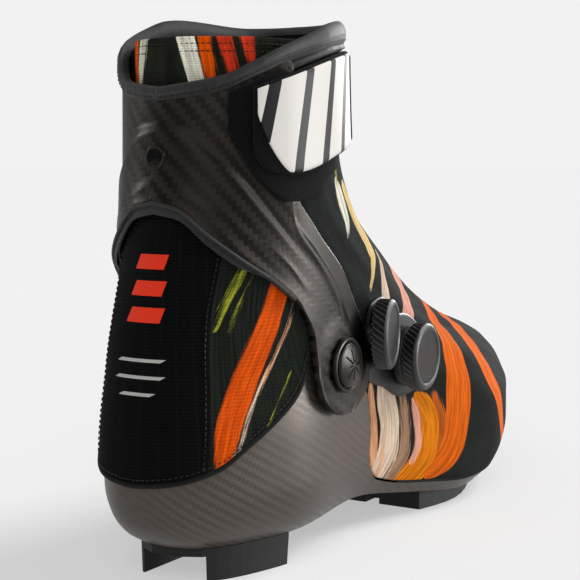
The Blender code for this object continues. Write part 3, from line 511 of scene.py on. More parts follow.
LOOKS = {
    "cuff": twill("cuff_twill", 2.05, (0.0006, 0.0004, 0.0003), (0.0205, 0.0158, 0.0132), 0.38,
                  0.00022, 0.2, (-0.8, 1.5)),
    "chassis": twill("chassis_twill", 1.0, (0.024, 0.0187, 0.0156), (0.053, 0.0425, 0.035), 0.42,
                     0.00006, 0.7),
    "upper": painted("upper_print", (0.0062, 0.0076, 0.0066), UPPER_STROKES),
    "panel": painted("panel_print", (0.0046, 0.0058, 0.0042), PANEL_STROKES, rib=1.3, seam=True),
    "collar": painted("collar_print", (0.0050, 0.0060, 0.0038), COLLAR_STROKES, rib=0.9),
    "binding": cloth_look("rim_binding", (0.0030, 0.0028, 0.0027), 0.5, 0.55, 0.5, 0.02, 0.5),
    "webbing": cloth_look("strap_webbing", (0.0022, 0.0022, 0.0024), 0.9, 0.85, 1.0),
    "stretch": cloth_look("stretch_fabric", (0.0016, 0.0017, 0.0017), 0.7, 0.85),
    "lip": cloth_look("lip_cover", (0.0030, 0.0026, 0.0023), 0.45, 0.46, 0.4, 0.02, 0.5),
    "pile": fuzz_look(),
    "strap": strap_look(),
    "plain_strap": plain_look("strap_front_satin", (0.0135, 0.013, 0.014), 0.40, 1500.0),
    "thread": plain_look("thread", (0.0035, 0.0033, 0.003), 0.6, 2500.0, Specular_IOR_Level=0.3),
    "rubber": plain_look("sole_rubber", (0.0042, 0.0040, 0.0038), 0.58, 1400.0, 0.00012,
                         Specular_IOR_Level=0.3),
    "grip": plain_look("dial_grip", (0.0055, 0.0052, 0.0050), 0.42, 1500.0, 0.00005),
    "face": plain_look("dial_face", (0.0034, 0.0031, 0.0028), 0.5, 1200.0, 0.00003,
                       Specular_IOR_Level=0.22, Specular_Tint=(1.0, 0.92, 0.85)),
    "plastic": plain_look("black_nylon", (0.0042, 0.0041, 0.0040), 0.42, 1500.0, 0.00004,
                          Specular_IOR_Level=0.35),
    "bolt": plain_look("bolt_nylon", (0.0040, 0.0036, 0.0034), 0.34, 1500.0, 0.00003,
                       Specular_IOR_Level=0.25, Specular_Tint=(1.0, 0.88, 0.8)),
    "steel": plain_look("brushed_steel", (0.52, 0.51, 0.50), 0.32, 1800.0, 0.00003, 1.0),
    "mark": plain_look("rear_mark", (0.72, 0.030, 0.005), 0.6, 1600.0, 0.00004, scuff=0.1,
                       Specular_IOR_Level=0.15),
    "grey_mark": plain_look("pale_mark", (0.42, 0.42, 0.40), 0.6, 1600.0, 0.00004, scuff=0.1,
                            Specular_IOR_Level=0.15),
    "foam": plain_look("lining_foam", (0.0052, 0.0052, 0.0054), 0.95, 1800.0, 0.0002,
                       Specular_IOR_Level=0.2),
}
# The record's material slot for each look; stitches have none of their own.
SLOTS = {"cuff": "carbon", "chassis": "carbon", "upper": "printed_fabric",
         "collar": "printed_fabric", "foam": "lining", "steel": "steel", "grip": "rubber"}
SLOTS |= dict.fromkeys(("panel", "binding", "webbing", "stretch", "lip", "pile"), "black_fabric")
SLOTS |= dict.fromkeys(("strap", "plain_strap", "face", "plastic", "bolt", "mark", "grey_mark"),
                       "plastic")


# ---------------------------------------------------------------- meshes

def piece(name, points, faces, look, body, replaced=(), sharp=42.0):
    """One visible piece from layout points, riding on a CAD body unless body is None."""
    mesh = bpy.data.meshes.new(name)
    mesh.from_pydata(((np.asarray(points) + SHIFT) / 1000.0).tolist(), [], faces)
    build = bmesh.new()
    build.from_mesh(mesh)
    bmesh.ops.recalc_face_normals(build, faces=build.faces[:])
    build.to_mesh(mesh)
    build.free()
    mesh.shade_smooth()
    mesh.set_sharp_from_angle(angle=math.radians(sharp))
    mesh.materials.append(LOOKS[look])
    made = bpy.data.objects.new(name, mesh)
    bpy.context.scene.collection.objects.link(made)
    if replaced:
        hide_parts(*replaced)
    if body:
        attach(made, body)
    return made


def attribute(thing, name, values):
    """Store a vector on every point, for the materials to read."""
    layer = thing.data.attributes.new(name, "FLOAT_VECTOR", "POINT")
    layer.data.foreach_set("vector", np.asarray(values, np.float32).ravel())


def grid_faces(rows, columns, ring, first=0, closed=False):
    """Quads of a grid: ring joins its last column to its first, and closed its rows."""
    faces = []
    for r in range(rows if closed else rows - 1):
        a, b = first + r * columns, first + (r + 1) % rows * columns
        for c in range(columns if ring else columns - 1):
            n = (c + 1) % columns
            faces.append((a + c, a + n, b + n, b + c))
    return faces


def caps(rows, columns, first=0):
    """The two faces that close a tube's ends."""
    last = first + (rows - 1) * columns
    return [tuple(range(first, first + columns)), tuple(range(last, last + columns))]


def wall_faces(rows, columns, ring):
    """Two grids, outer then inner, joined round their open edges."""
    inner = rows * columns
    faces = grid_faces(rows, columns, ring) + grid_faces(rows, columns, ring, inner)
    edge = list(range(columns))
    last = [(rows - 1) * columns + c for c in range(columns)]
    if ring:
        loops = [edge + [0], last + [last[0]]]
    else:
        right = [r * columns + columns - 1 for r in range(rows)]
        left = [r * columns for r in range(rows)]
        loops = [edge, last, left, right]
    for loop in loops:
        for a, b in zip(loop[:-1], loop[1:]):
            faces.append((a, b, b + inner, a + inner))
    return faces


def lipped(count, size):
    """Shares from 0 to 1 with close rows at both ends, and how far each row is rounded off."""
    ends = np.array([0.0, 0.35, 1.0]) * size
    middle = np.linspace(size, 1 - size, count)
    share = np.concatenate([ends[:-1], middle, 1 - ends[-2::-1]])
    drop = np.zeros(len(share))
    drop[[0, -1]] = 0.5
    drop[[1, -2]] = 0.14
    return share, drop


def shell(name, turn, z, out, thick, look, body, ring=False, post=None, edge=None, **more):
    """Closed wall between two offsets of the surface. turn, z and out are grids."""
    turn, z, out = np.broadcast_arrays(turn, z, out)
    outer, inner = skin(turn, z, out), skin(turn, z, out - thick)
    if post:
        outer, inner = post(outer, 0.0), post(inner, -thick)
    points = np.concatenate([outer.reshape(-1, 3), inner.reshape(-1, 3)])
    made = piece(name, points, wall_faces(*turn.shape, ring), look, body, **more)
    mark = np.zeros_like(turn) if edge is None else edge
    flat = np.stack([arc(turn), z, np.broadcast_to(mark, turn.shape)], -1).reshape(-1, 3)
    attribute(made, "flat", np.concatenate([flat, flat]))
    return made, outer


def stroke_field(at_y, at_z, path):
    """How far inside a stroke each point lies, and its place across and along it."""
    path = np.array(path, float)
    fine = np.linspace(0, len(path) - 1, 12 * len(path))
    path = np.stack([through(list(enumerate(path[:, k])), fine) for k in range(3)], -1)
    step = path[1:, :2] - path[:-1, :2]
    length = np.maximum(np.linalg.norm(step, axis=1), 1e-6)
    start = np.concatenate([[0.0], np.cumsum(length)[:-1]])
    best = np.full(at_y.shape, -1e3)
    across = np.zeros(at_y.shape)
    along = np.zeros(at_y.shape)
    for i in range(len(step)):
        dy, dz = at_y - path[i, 0], at_z - path[i, 1]
        share = np.clip((dy * step[i, 0] + dz * step[i, 1]) / length[i] ** 2, 0, 1)
        off_y, off_z = dy - share * step[i, 0], dz - share * step[i, 1]
        reach = np.hypot(off_y, off_z)
        width = path[i, 2] + share * (path[i + 1, 2] - path[i, 2])
        inside = width - reach
        better = inside > best
        best = np.where(better, inside, best)
        side = np.sign(step[i, 0] * off_z - step[i, 1] * off_y)
        across = np.where(better, side * reach, across)
        along = np.where(better, start[i] + share * length[i], along)
    return np.stack([np.maximum(best, -6.0), across, along], -1)


def paint(thing, at_y, at_z, strokes):
    """Store each stroke's field on both faces of a shell."""
    for k, (_, _, path) in enumerate(strokes):
        field = stroke_field(at_y.ravel(), at_z.ravel(), path)
        attribute(thing, f"stroke{k}", np.concatenate([field, field]))


def tube_points(path, radius, sides):
    """Grid of points round a path."""
    ahead = np.gradient(path, axis=0)
    ahead /= np.linalg.norm(ahead, axis=1, keepdims=True)
    side = np.cross(ahead, [0.0, 0.0, 1.0])
    side /= np.maximum(np.linalg.norm(side, axis=1, keepdims=True), 1e-9)
    up = np.cross(side, ahead)
    angle = np.linspace(0, 2 * math.pi, sides, endpoint=False)
    radius = np.broadcast_to(np.asarray(radius, float), (len(path),))[:, None, None]
    across = (np.cos(angle)[None, :, None] * side[:, None, :]
              + np.sin(angle)[None, :, None] * up[:, None, :])
    return path[:, None, :] + across * radius


def lengths(path):
    """Distance along a path at each of its points."""
    return np.concatenate([[0], np.cumsum(np.linalg.norm(np.diff(path, axis=0), axis=1))])


def lay_flat(thing, along, across):
    """Store a tube's distances along and round it, for its weave."""
    flat = np.zeros((len(along), len(across), 3))
    flat[..., 0] = along[:, None]
    flat[..., 1] = across[None, :]
    attribute(thing, "flat", flat.reshape(-1, 3))


def cord_piece(name, path, radius, look, body, sides=10, **more):
    """A capped tube along a path."""
    grid = tube_points(path, radius, sides)
    faces = grid_faces(len(grid), sides, True) + caps(len(grid), sides)
    made = piece(name, grid.reshape(-1, 3), faces, look, body, **more)
    around = 2 * math.pi * float(np.mean(radius))
    lay_flat(made, lengths(path), np.linspace(0, around, sides))


def stitches(name, path, look, body, pitch=2.1, length=1.5, radius=0.24):
    """A run of short raised stitches along a path."""
    reach = lengths(path)
    widths = radius * np.array([0.35, 0.9, 1.0, 0.9, 0.35])
    sides = count = len(widths)
    points, faces = [], []
    for start in np.arange(0.4, reach[-1] - length, pitch):
        at = start + np.linspace(0, length, count)
        run = np.stack([np.interp(at, reach, path[:, k]) for k in range(3)], -1)
        first = len(points)
        points += tube_points(run, widths, sides).reshape(-1, 3).tolist()
        faces += grid_faces(count, sides, True, first) + caps(count, sides, first)
    piece(name, points, faces, look, body)


# ---------------------------------------------------------------- lower boot

def dense_turns(start, end, count):
    """Turns of one half, close together where the carbon flank ends."""
    even = np.linspace(start, end, 400)
    crowd = np.cumsum(1 + 9 * np.exp(-((even - 75) / 3.2) ** 2))
    crowd = (crowd - crowd[0]) / (crowd[-1] - crowd[0])
    return np.interp(np.linspace(0, 1, count), crowd, even)


def chassis():
    """Carbon cup and sole tray: an outer and an inner grid, closed below and round the rim."""
    half_turns = dense_turns(0, 180, 170)
    turn = np.concatenate([half_turns, 360 - half_turns[-2:0:-1]])
    top = through(CHASSIS_TOP, fold(turn))
    share, drop = lipped(30, 0.02)
    share = np.concatenate([[0.0], share[2:]])
    drop = np.concatenate([[0.0], drop[2:]])
    z = between(SOLE_Z, top, share)
    out = -CHASSIS_WALL * drop[:, None] * np.ones_like(z)
    rows, columns = z.shape
    turns = np.broadcast_to(turn, z.shape)
    outer = flatten(skin(turns, z, out), CHASSIS_FLAT_X, 12)
    inner = flatten(skin(turns, z, out * 0 - CHASSIS_WALL), CHASSIS_FLAT_X - CHASSIS_WALL, 12)
    inner[0, :, 2] += CHASSIS_WALL
    inner[1, :, 2] = np.maximum(inner[1, :, 2], inner[0, :, 2] + 0.1)
    points = np.concatenate([outer.reshape(-1, 3), inner.reshape(-1, 3)])
    size = rows * columns
    faces = grid_faces(rows, columns, True) + grid_faces(rows, columns, True, size)
    last = (rows - 1) * columns
    for c in range(columns):
        n = (c + 1) % columns
        faces.append((last + c, last + n, last + n + size, last + c + size))
    half = columns // 2
    for first in (0, size):
        faces.append((first, first + 1, first + columns - 1))
        for c in range(1, half - 1):
            faces.append((first + c, first + c + 1, first + columns - c - 1, first + columns - c))
        faces.append((first + half - 1, first + half, first + half + 1))
    made = piece("chassis_shell", points, faces, "chassis", "boot_base",
                 replaced=("carbon_chassis",))
    flat = np.stack([arc(turns), z, np.ones_like(z)], -1).reshape(-1, 3)
    attribute(made, "flat", np.concatenate([flat, flat]))


def upper():
    """Printed fabric from the chassis edge up into the cuff."""
    half_turns = dense_turns(54, 180, 190)
    turn = np.concatenate([half_turns, 360 - half_turns[-2::-1]])
    low = through(CHASSIS_TOP, fold(turn) - 0.4) + 0.8
    high = through([(54, 150), (75, 168), (100, 176), (180, 180)], fold(turn))
    share, drop = lipped(90, 0.006)
    z = between(low, high, share)
    soft = np.sin(turn[None, :] * 0.35 + z * 0.09) * np.sin(z * 0.13 + turn[None, :] * 0.05)
    rows_in = ease((z - low - 2) / 12) * ease((150 - z) / 20)
    out = -1.3 * drop[:, None] + 0.28 * soft * rows_in
    made, outer = shell("upper_fabric", turn, z, out, 1.2, "upper", None,
                                 replaced=("fabric_upper",))
    paint(made, outer[..., 1], z, UPPER_STROKES)
    return made


def bootie():
    """Inner lining from the footbed up into the collar, in place of the CAD's rigid bootie."""
    half_turns = dense_turns(0, 180, 90)
    turn = np.concatenate([half_turns, 360 - half_turns[-2:0:-1]])
    z = between(24.5, 166, np.linspace(0, 1, 50))
    made, _ = shell("bootie_lining", turn, z, -2.7, 2.0, "foam", None,
                     ring=True, replaced=("inner_bootie", "tongue"))
    return made


def ankle_gusset():
    """Stretch fabric between the heel panel's top and the inside of the cuff."""
    turn = np.linspace(-62, 62, 90)
    base = split_height(turn, np.full(turn.shape, 1.2))
    share = np.linspace(0, 1, 14)[:, None]
    z = base - 3 + 17 * share
    out = 0.2 + 1.0 * ease(share * 1.4)
    made, _ = shell("ankle_gusset", turn, z, out * np.ones_like(z), 0.7, "stretch", None)
    return made


def heel_panel():
    """Ribbed panel round the heel, split from the cuff on the rounded surface."""
    turn = np.linspace(-61, 61, 150)
    low = through(PANEL_HEM, fold(turn))
    high = split_height(turn, np.full(turn.shape, 1.7)) - 0.2 - 2.0 * ease((-turn - 18) / 16)
    share, drop = lipped(60, 0.008)
    z = between(low, high, share)
    seam = through(PANEL_SEAM, z)
    edge = (seam - fold(turn)[None, :]) * 1.2
    puff = 0.28 * ease((edge + 0.4) / 0.8)
    out = 1.45 + puff - 1.1 * drop[:, None]
    made, outer = shell("heel_panel_skin", turn, z, out, 1.0, "panel",
                                 "boot_base", replaced=("heel_panel",), edge=edge)
    paint(made, outer[..., 1], z, PANEL_STROKES)


def panel_seams():
    """Rolled hem of the heel panel and the rows of stitches on it."""
    turn = np.linspace(-61, 61, 160)
    hem = through(PANEL_HEM, fold(turn))
    thin = 1.0 - 0.55 * ease((fold(turn) - 50) / 5)
    cord_piece("heel_panel_hem", skin(turn, hem + 0.3, 1.25), thin, "stretch", "boot_base")
    stitches("hem_stitches", skin(turn, hem + 2.6, 1.95), "thread", "boot_base")
    for side, name in ((1, "outer"), (-1, "inner")):
        height = np.linspace(45, 128, 120)
        run = skin(side * (through(PANEL_SEAM, height) - 1.6), height, 1.95)
        stitches(name + "_seam_stitches", run, "thread", "boot_base")


def rear_marks():
    """Plain bars where the real panel is labelled."""
    bars = [(119, 5.4, 13.0, "mark"), (109.5, 5.4, 13.0, "mark"), (100, 5.4, 13.0, "mark"),
            (84, 1.2, 15.0, "grey_mark"), (78, 1.2, 15.0, "grey_mark"),
            (72, 1.2, 9.0, "grey_mark")]
    for k, (middle, tall, wide, look) in enumerate(bars):
        share = np.linspace(-1, 1, 24)
        height = np.linspace(-1, 1, 8)[:, None]
        z = middle + height * tall / 2 * np.ones_like(share)
        turn = (share * wide / 2 + height * 0.9) / 0.86
        out = 1.93 - 0.08 * (np.abs(height) > 0.99) - 0.08 * (np.abs(share) > 0.99)
        shell(f"rear_mark_{k}", turn, z, out, 0.3, look, "boot_base")


def sole_shadow_line():
    """Black cord where the forefoot fabric meets the carbon sole: painted shade, a dark piece laid
    in the shaded gap between them.
    """
    turn = np.linspace(84, 276, 220)
    low = np.maximum(through(CHASSIS_TOP, fold(turn)), through(CHASSIS_TOP, fold(turn) - 1.2))
    run = skin(turn, low + 0.5, -0.55)
    # Painted shade: this black cord stands for the shadow in the gap along the sole's edge.
    cord_piece("sole_shadow_cord", run, 0.75, "stretch", "boot_base")


def bevelled(node, width):
    """Soften a CAD node's sharp edges."""
    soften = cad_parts[node].modifiers.new("edges", "BEVEL")
    soften.width = width
    soften.segments = 2
    soften.limit_method = "ANGLE"
    soften.angle_limit = math.radians(40)


# ---------------------------------------------------------------- cuff

def climb(turn):
    """Extra height of the rim on the inner side of the leg, where it rises sooner."""
    signed = (np.asarray(turn, float) + 180) % 360 - 180
    return 5.0 * ease((-signed - 22) / 34) * ease((150 + signed) / 60)


def cuff_swell(turn, z):
    """How far the cuff stands out behind the heel, stepping in above its ledge."""
    rear = 1 - ease((fold(turn) - 45) / 25)
    ledge = through(LEDGE, fold(turn))
    step = ease((z - ledge + 1.5) / 5)
    flare = ease((ledge - 20 - z) / 14)
    return rear * (1.3 * flare - 1.4 * step)


def edge_line(outline, share):
    """Turns and heights at shares of the way along an outline and its mirror image."""
    at = np.linspace(0, 1, len(outline))
    turn, z = (through(list(zip(at, [p[k] for p in outline])), abs(share)) for k in (0, 1))
    return turn * np.sign(share), z


def cuff():
    """Carbon cuff from its lower edge to its upper and front edge, with an arm on each side."""
    up, drop = lipped(60, 0.022)
    share = np.linspace(-1, 1, 280)
    low, high = edge_line(CUFF_LOWER, share), edge_line(CUFF_UPPER, share)
    turn, z = (between(low[k], high[k], up) for k in (0, 1))
    arm = ease((np.abs(share) - 0.44) / 0.1)[None, :]
    ridge = np.exp(-((up[:, None] - 0.70) / 0.06) ** 2)
    front_step = ease((up[:, None] - 0.70) / 0.10)
    flare_line = through(FLARE_LINE, fold(turn))
    crest = np.exp(-((z - flare_line) / 2.2) ** 2) * (1 - arm)
    relief = arm * (0.4 * ridge - 0.7 * front_step) + 0.3 * crest
    out = CUFF_INNER + cuff_swell(turn, z) + CUFF_THICK * (1 - drop[:, None]) + relief
    far = arm * (0.72 - up[:, None]) * 22 + (1 - arm) * 5

    def press(points, out_by):
        return flatten(points, ARM_INNER_X + CUFF_THICK + out_by, 13)

    z = z + climb(turn) * up[:, None] ** 4 * (fold(turn) < 67)
    shell("cuff_carbon", turn, z, out, CUFF_THICK, "cuff", "cuff", post=press, edge=far,
          replaced=("cuff_shell",))


def cuff_hem():
    """Cord and band under the rear of the cuff; the band is short where it nears the panel."""
    turn, low = edge_line(CUFF_LOWER, np.linspace(-0.42, 0.42, 150))
    swell = cuff_swell(turn, low)
    run = skin(turn, low - 0.2, CUFF_INNER + 1.5 + swell)
    cord_piece("cuff_hem_cord", run, 0.8, "binding", "cuff")
    rows, fall = lipped(8, 0.06)
    tall = 4.6 - 3.0 * ease((fold(turn) - 34) / 14)
    z = low + 0.6 - tall * rows[:, None]
    out = CUFF_INNER + 1.3 + swell - 0.5 * rows[:, None] - 0.5 * fall[:, None]
    shell("cuff_hem_binding", turn, z, out, 0.6, "binding", "cuff",
          replaced=("cuff_hem_trim",))


def rear_hole():
    """Recess with a bright ring at the back of the cuff."""
    steps = 48
    angle = np.linspace(0, 2 * math.pi, steps, endpoint=False)
    swell = cuff_swell(0.0, REAR_HOLE_Z)
    back = skin(0.0, REAR_HOLE_Z, CUFF_INNER + swell)[1] - CUFF_THICK
    profile = [(3.1, 1.2), (3.2, 0.2), (3.4, -0.25), (3.9, -0.4), (4.3, -0.25), (4.5, 0.15),
               (4.4, 1.2)]
    floor = [(2.9, -0.05), (2.9, 0.45)]
    ring, disc = ([(r * math.cos(a), back + depth, REAR_HOLE_Z + r * math.sin(a))
                   for r, depth in outline for a in angle] for outline in (profile, floor))
    faces = grid_faces(len(profile), steps, True, closed=True)
    piece("rear_ring", ring, faces, "bolt", "cuff", replaced=("rear_eyelet",))
    faces = caps(len(floor), steps) + grid_faces(len(floor), steps, True)
    piece("rear_hole_floor", disc, faces, "pile", "cuff")


def rim_height(turn):
    """Height of the cuff's rim."""
    return through(RIM_HEIGHT, fold(turn)) + climb(turn)


def rim():
    """Padded roll round the top of the cuff, fuller at the front, with its stitches."""
    turn = np.linspace(0, 360, 320, endpoint=False)
    around = fold(turn)
    middle = rim_height(turn) + 0.6
    tall = through([(0, 2.9), (50, 3.0), (75, 3.8), (110, 5.0), (180, 4.6)], around)
    wide = through([(0, 2.2), (50, 2.3), (80, 3.0), (120, 3.2), (180, 3.0)], around)
    wide = wide + 0.12 * np.sin(np.radians(turn) * 41) * np.sin(np.radians(turn) * 13)
    out = through([(0, 1.5), (50, 2.6), (80, 1.6), (180, 0.4)], around)
    angle = np.linspace(0, 2 * math.pi, 20, endpoint=False)
    grid = np.stack([skin(turn, middle + tall * math.sin(a), out + wide * math.cos(a))
                     for a in angle], 1)
    faces = grid_faces(len(turn), len(angle), True, closed=True)
    made = piece("rim_binding", grid.reshape(-1, 3), faces, "binding", "cuff",
                 replaced=("cuff_rim_trim",))
    lay_flat(made, arc(turn), angle * 3.0)
    run = skin(turn, middle - tall * 0.45, out + wide * 0.93 + 0.05)
    stitches("rim_stitches", run, "thread", "cuff", 2.6, 1.9, 0.2)


def lip():
    """Padded front of the collar that stands above the strap."""
    turn = np.linspace(60, 300, 220)
    around = fold(turn)
    high = rim_height(turn) - 1.5
    low = through(STRAP_HIGH, around) - 0.4
    crease = np.sin(turn * 0.9 + 2 * np.sin(turn * 0.23)) * np.sin(turn * 0.37)
    share, drop = lipped(26, 0.03)
    z = between(low, high, share)
    puff = np.sin(np.pi * np.clip(share, 0, 1)) ** 0.7
    taper = ease((around - 58) / 22)
    out = 0.6 + 0.2 * puff[:, None] + (2.6 + 0.22 * crease) * taper * puff[:, None]
    out = out - 1.2 * drop[:, None]
    made, _ = shell("front_lip", turn, z, out, 2.2, "lip", "cuff",
                     replaced=("front_collar",))
    seam = skin(turn, through(RIM_HEIGHT, around) - 4.6, 3.1 * taper)
    cord_piece("lip_piping", seam, 0.55, "binding", "cuff")


def collar_top(turn):
    """Height of the collar's upper edge."""
    return np.maximum(through(RIM_HEIGHT, fold(turn)) + 2, COLLAR_TOP)


def collar():
    """Printed liner that stands above the rim, with two rows of stitches."""
    turn = np.linspace(0, 360, 300, endpoint=False)
    low, high = COLLAR_LOW, collar_top(turn)
    share, drop = lipped(44, 0.02)
    z = between(low, high, share)
    ripple = 0.25 * np.sin(np.radians(turn) * 9)[None, :] * ease((z - 180) / 15)
    out = -1.7 - 2.0 * drop[:, None] + ripple
    made, _ = shell("collar_cloth", turn, z, out, 2.1, "collar", "cuff",
                             ring=True, replaced=("collar_liner",))
    signed = np.broadcast_to(np.where(turn > 180, turn - 360, turn), z.shape)
    paint(made, signed * COLLAR_MM_PER_DEGREE, z, COLLAR_STROKES)
    turn = np.linspace(-178, 178, 300)
    for k, below in enumerate((2.6, 5.4)):
        run = skin(turn, collar_top(turn) - below, -1.55)
        stitches(f"collar_stitches_{k}", run, "thread", "cuff", 2.0, 1.5, 0.2)


# ---------------------------------------------------------------- strap

def strap_rest(turn):
    """Offset of the strap's inside: over the cuff's edge at the sides, low across the front."""
    return through([(0, 5.6), (58, 5.6), (68, 4.9), (84, 3.9), (120, 3.4), (180, 3.4)], fold(turn))


def strap():
    """Webbing from the pin across the shin, with a smooth cover over its front."""
    turn = np.linspace(STRAP_PIN_TURN - 3.6, STRAP_FOLD_TURN - 360 + 3.0, 200)
    low, high = through(STRAP_LOW, fold(turn)), through(STRAP_HIGH, fold(turn))
    share, drop = lipped(16, 0.03)
    z = between(low, high, share)
    rest = strap_rest(turn) - 1.0 * (turn > -90) * ease((turn + 90) / 20)
    out = rest + STRAP_THICK * (1 - drop[:, None])
    shell("strap_webbing", turn, z, out, STRAP_THICK, "webbing", "strap_front",
          replaced=("cuff_strap",))
    front = np.linspace(STRAP_FOLD_TURN - 360 + 5.0, -120.0, 120)
    low, high = through(STRAP_LOW, fold(front)) + 1.5, through(STRAP_HIGH, fold(front)) - 1.5
    z = between(low, high, share)
    out = strap_rest(front) + 1.5 + 0.8 * (1 - drop[:, None])
    shell("strap_front_skin", front, z, out, 0.8, "plain_strap", "strap_front")


def strap_hardware():
    """Low steel pin and its two keepers, flush with the inner side of the cuff."""
    height = np.linspace(150.0, 187.5, 40)
    run = skin(PIN_TURN, height, PIN_OUT)
    cord_piece("strap_hinge_pin", run, 0.75, "steel", "cuff", replaced=("strap_pin",))
    keeper = [(0.8, -1.3), (1.7, -1.3), (1.9, -0.9), (1.9, 0.9), (1.7, 1.3), (0.8, 1.3)]
    for name, z in (("lower", 150.6), ("upper", 186.9)):
        spot = skin(PIN_TURN, z, PIN_OUT)
        lathe(name + "_pin_keeper", keeper, "steel", "cuff", spot, (0.0, 0.02, 1.0), 40,
              replaced=(name + "_strap_rivet",), hollow=True)


def strap_end():
    """Peeling end of the strap: hook backing and the satin panel on it."""
    share, drop = lipped(24, 0.03)
    turn = np.linspace(STRAP_TIP_TURN, STRAP_FOLD_TURN - 3.0, 110)
    low, high = through(STRAP_LOW, turn) - 0.4, through(STRAP_HIGH, turn) + 0.4
    z = between(low, high, share)
    out = strap_rest(turn) + STRAP_THICK * (1 - drop[:, None])
    shell("strap_end_backing", turn, z, out, STRAP_THICK, "pile", "strap_end",
          replaced=("strap_tab",))
    tip, root = STRAP_TIP_TURN + 1.5, STRAP_FOLD_TURN - 3.5
    turn = np.linspace(tip, root, 120)
    low = through(STRAP_LOW, turn) + 0.7 + 15 * (1 - np.clip((turn - tip) / 14, 0, 1)) ** 1.4
    high = through(STRAP_HIGH, turn) - 0.5
    z = between(low, high, share)
    ends = ease((turn - tip) / 1.6) * ease((root - turn) / 1.6)
    out = strap_rest(turn) + 1.5 + 0.9 * (1 - drop[:, None]) - 0.4 * (1 - ends)
    shell("strap_end_skin", turn, z, out, 0.8, "strap", "strap_end",
          replaced=("strap_panel",))


def strap_fold():
    """Soft webbing across the fold between the strap and its peeling end."""
    turn = np.linspace(STRAP_FOLD_TURN - 10, STRAP_FOLD_TURN + 10, 60)
    low, high = through(STRAP_LOW, turn) + 0.3, through(STRAP_HIGH, turn) - 0.3
    share, drop = lipped(16, 0.03)
    z = between(low, high, share)
    out = strap_rest(turn) + 1.1 - 0.7 * drop[:, None]
    made, _ = shell("strap_fold_webbing", turn, z, out, 0.9, "webbing", None)
    return made


def on_strap(turn):
    """Point in the middle of the strap, in the frame."""
    middle = skin(turn, 175.0, strap_rest(turn) + STRAP_THICK / 2)
    return tuple((middle + SHIFT) / 1000.0)


def loop_patch():
    """Hook-and-loop patch on the cuff, under the strap's end."""
    turn = np.linspace(34.5, 96, 110)
    low = through(LOOP_LOW, turn)
    high = through(RIM_HEIGHT, turn) - 3.5
    high += (through(STRAP_HIGH, turn) - 0.8 - high) * ease((turn - 58) / 8)
    share, drop = lipped(40, 0.02)
    z = between(low, high, share)
    out = strap_rest(turn) - 0.4 - 0.8 * drop[:, None]
    shell("loop_pile_patch", turn, z, out, 0.8, "pile", "cuff",
          replaced=("loop_patch",))


# ---------------------------------------------------------------- dials and bolts

def lathe(name, profile, look, body, where, aim, steps=96, shape=None, hollow=False, **more):
    """Turned solid from (radius, height) points; a hollow one is closed into a ring."""
    aim = np.asarray(aim, float)
    side = np.cross([0.0, 0.0, 1.0] if abs(aim[2]) < 0.9 else [1.0, 0.0, 0.0], aim)
    side /= np.linalg.norm(side)
    up = np.cross(aim, side)
    angle = np.linspace(0, 2 * math.pi, steps, endpoint=False)
    profile = np.asarray(profile, float)
    radius = np.repeat(profile[:, :1], steps, axis=1)
    height = np.repeat(profile[:, 1:], steps, axis=1)
    if shape:
        radius, height = shape(radius, height, angle[None, :])
    grid = (np.asarray(where) + (radius * np.cos(angle))[..., None] * side
            + (radius * np.sin(angle))[..., None] * up + height[..., None] * aim)
    faces = grid_faces(len(profile), steps, True, closed=hollow)
    if not hollow:
        faces += caps(len(profile), steps)
    made = piece(name, grid.reshape(-1, 3), faces, look, body, sharp=34.0, **more)
    flat = np.stack([radius * angle, height, radius], -1)
    attribute(made, "flat", flat.reshape(-1, 3))


def dial(name, foot, lean, base_radius):
    """Knurled lacing dial with an inset face, on a round base."""
    lean = math.radians(lean)
    aim = (math.cos(lean), math.sin(lean), 0.0)
    head = name + "_dial_head"

    def knurl(radius, height, angle):
        tooth = (0.5 + 0.5 * np.sin(angle * DIAL_TEETH - height * 1.7)) ** 1.6
        on_wall = ease((radius - 12.9) / 0.5) * ease((height - 5.2) / 0.6)
        on_wall = on_wall * ease((10.7 - height) / 0.7)
        return radius - 0.9 * tooth * on_wall, height

    wall = [(3.0, 4.9), (12.6, 4.9), (13.6, 5.2)]
    wall += [(DIAL_RADIUS, z) for z in np.linspace(5.8, 10.5, 18)]
    wall += [(14.0, 10.95), (13.5, 11.5), (12.9, 11.85), (12.2, 11.95), (11.6, 11.8),
             (11.2, 11.4), (11.35, 10.6), (3.0, 10.6)]
    lathe(name + "_dial_grip", wall, "grip", head, foot, aim, 304, shape=knurl,
          replaced=(name + "_dial_knob",))
    face = [(0.3, 10.9), (11.3, 10.9), (11.3, 11.35), (11.0, 11.42), (9.0, 11.28), (5.0, 11.2),
            (0.3, 11.2)]
    lathe(name + "_dial_face", face, "face", head, foot, aim,
          replaced=(name + "_dial_cap",))
    skirt = [(3.3, 1.0), (base_radius, 1.0), (base_radius + 0.3, 3.2), (base_radius - 0.2, 4.6),
             (base_radius - 1.2, 5.4), (3.3, 5.4)]
    lathe(name + "_dial_base", skirt, "plastic", "boot_base", foot, aim,
          replaced=(name + "_dial_housing",), hollow=True)


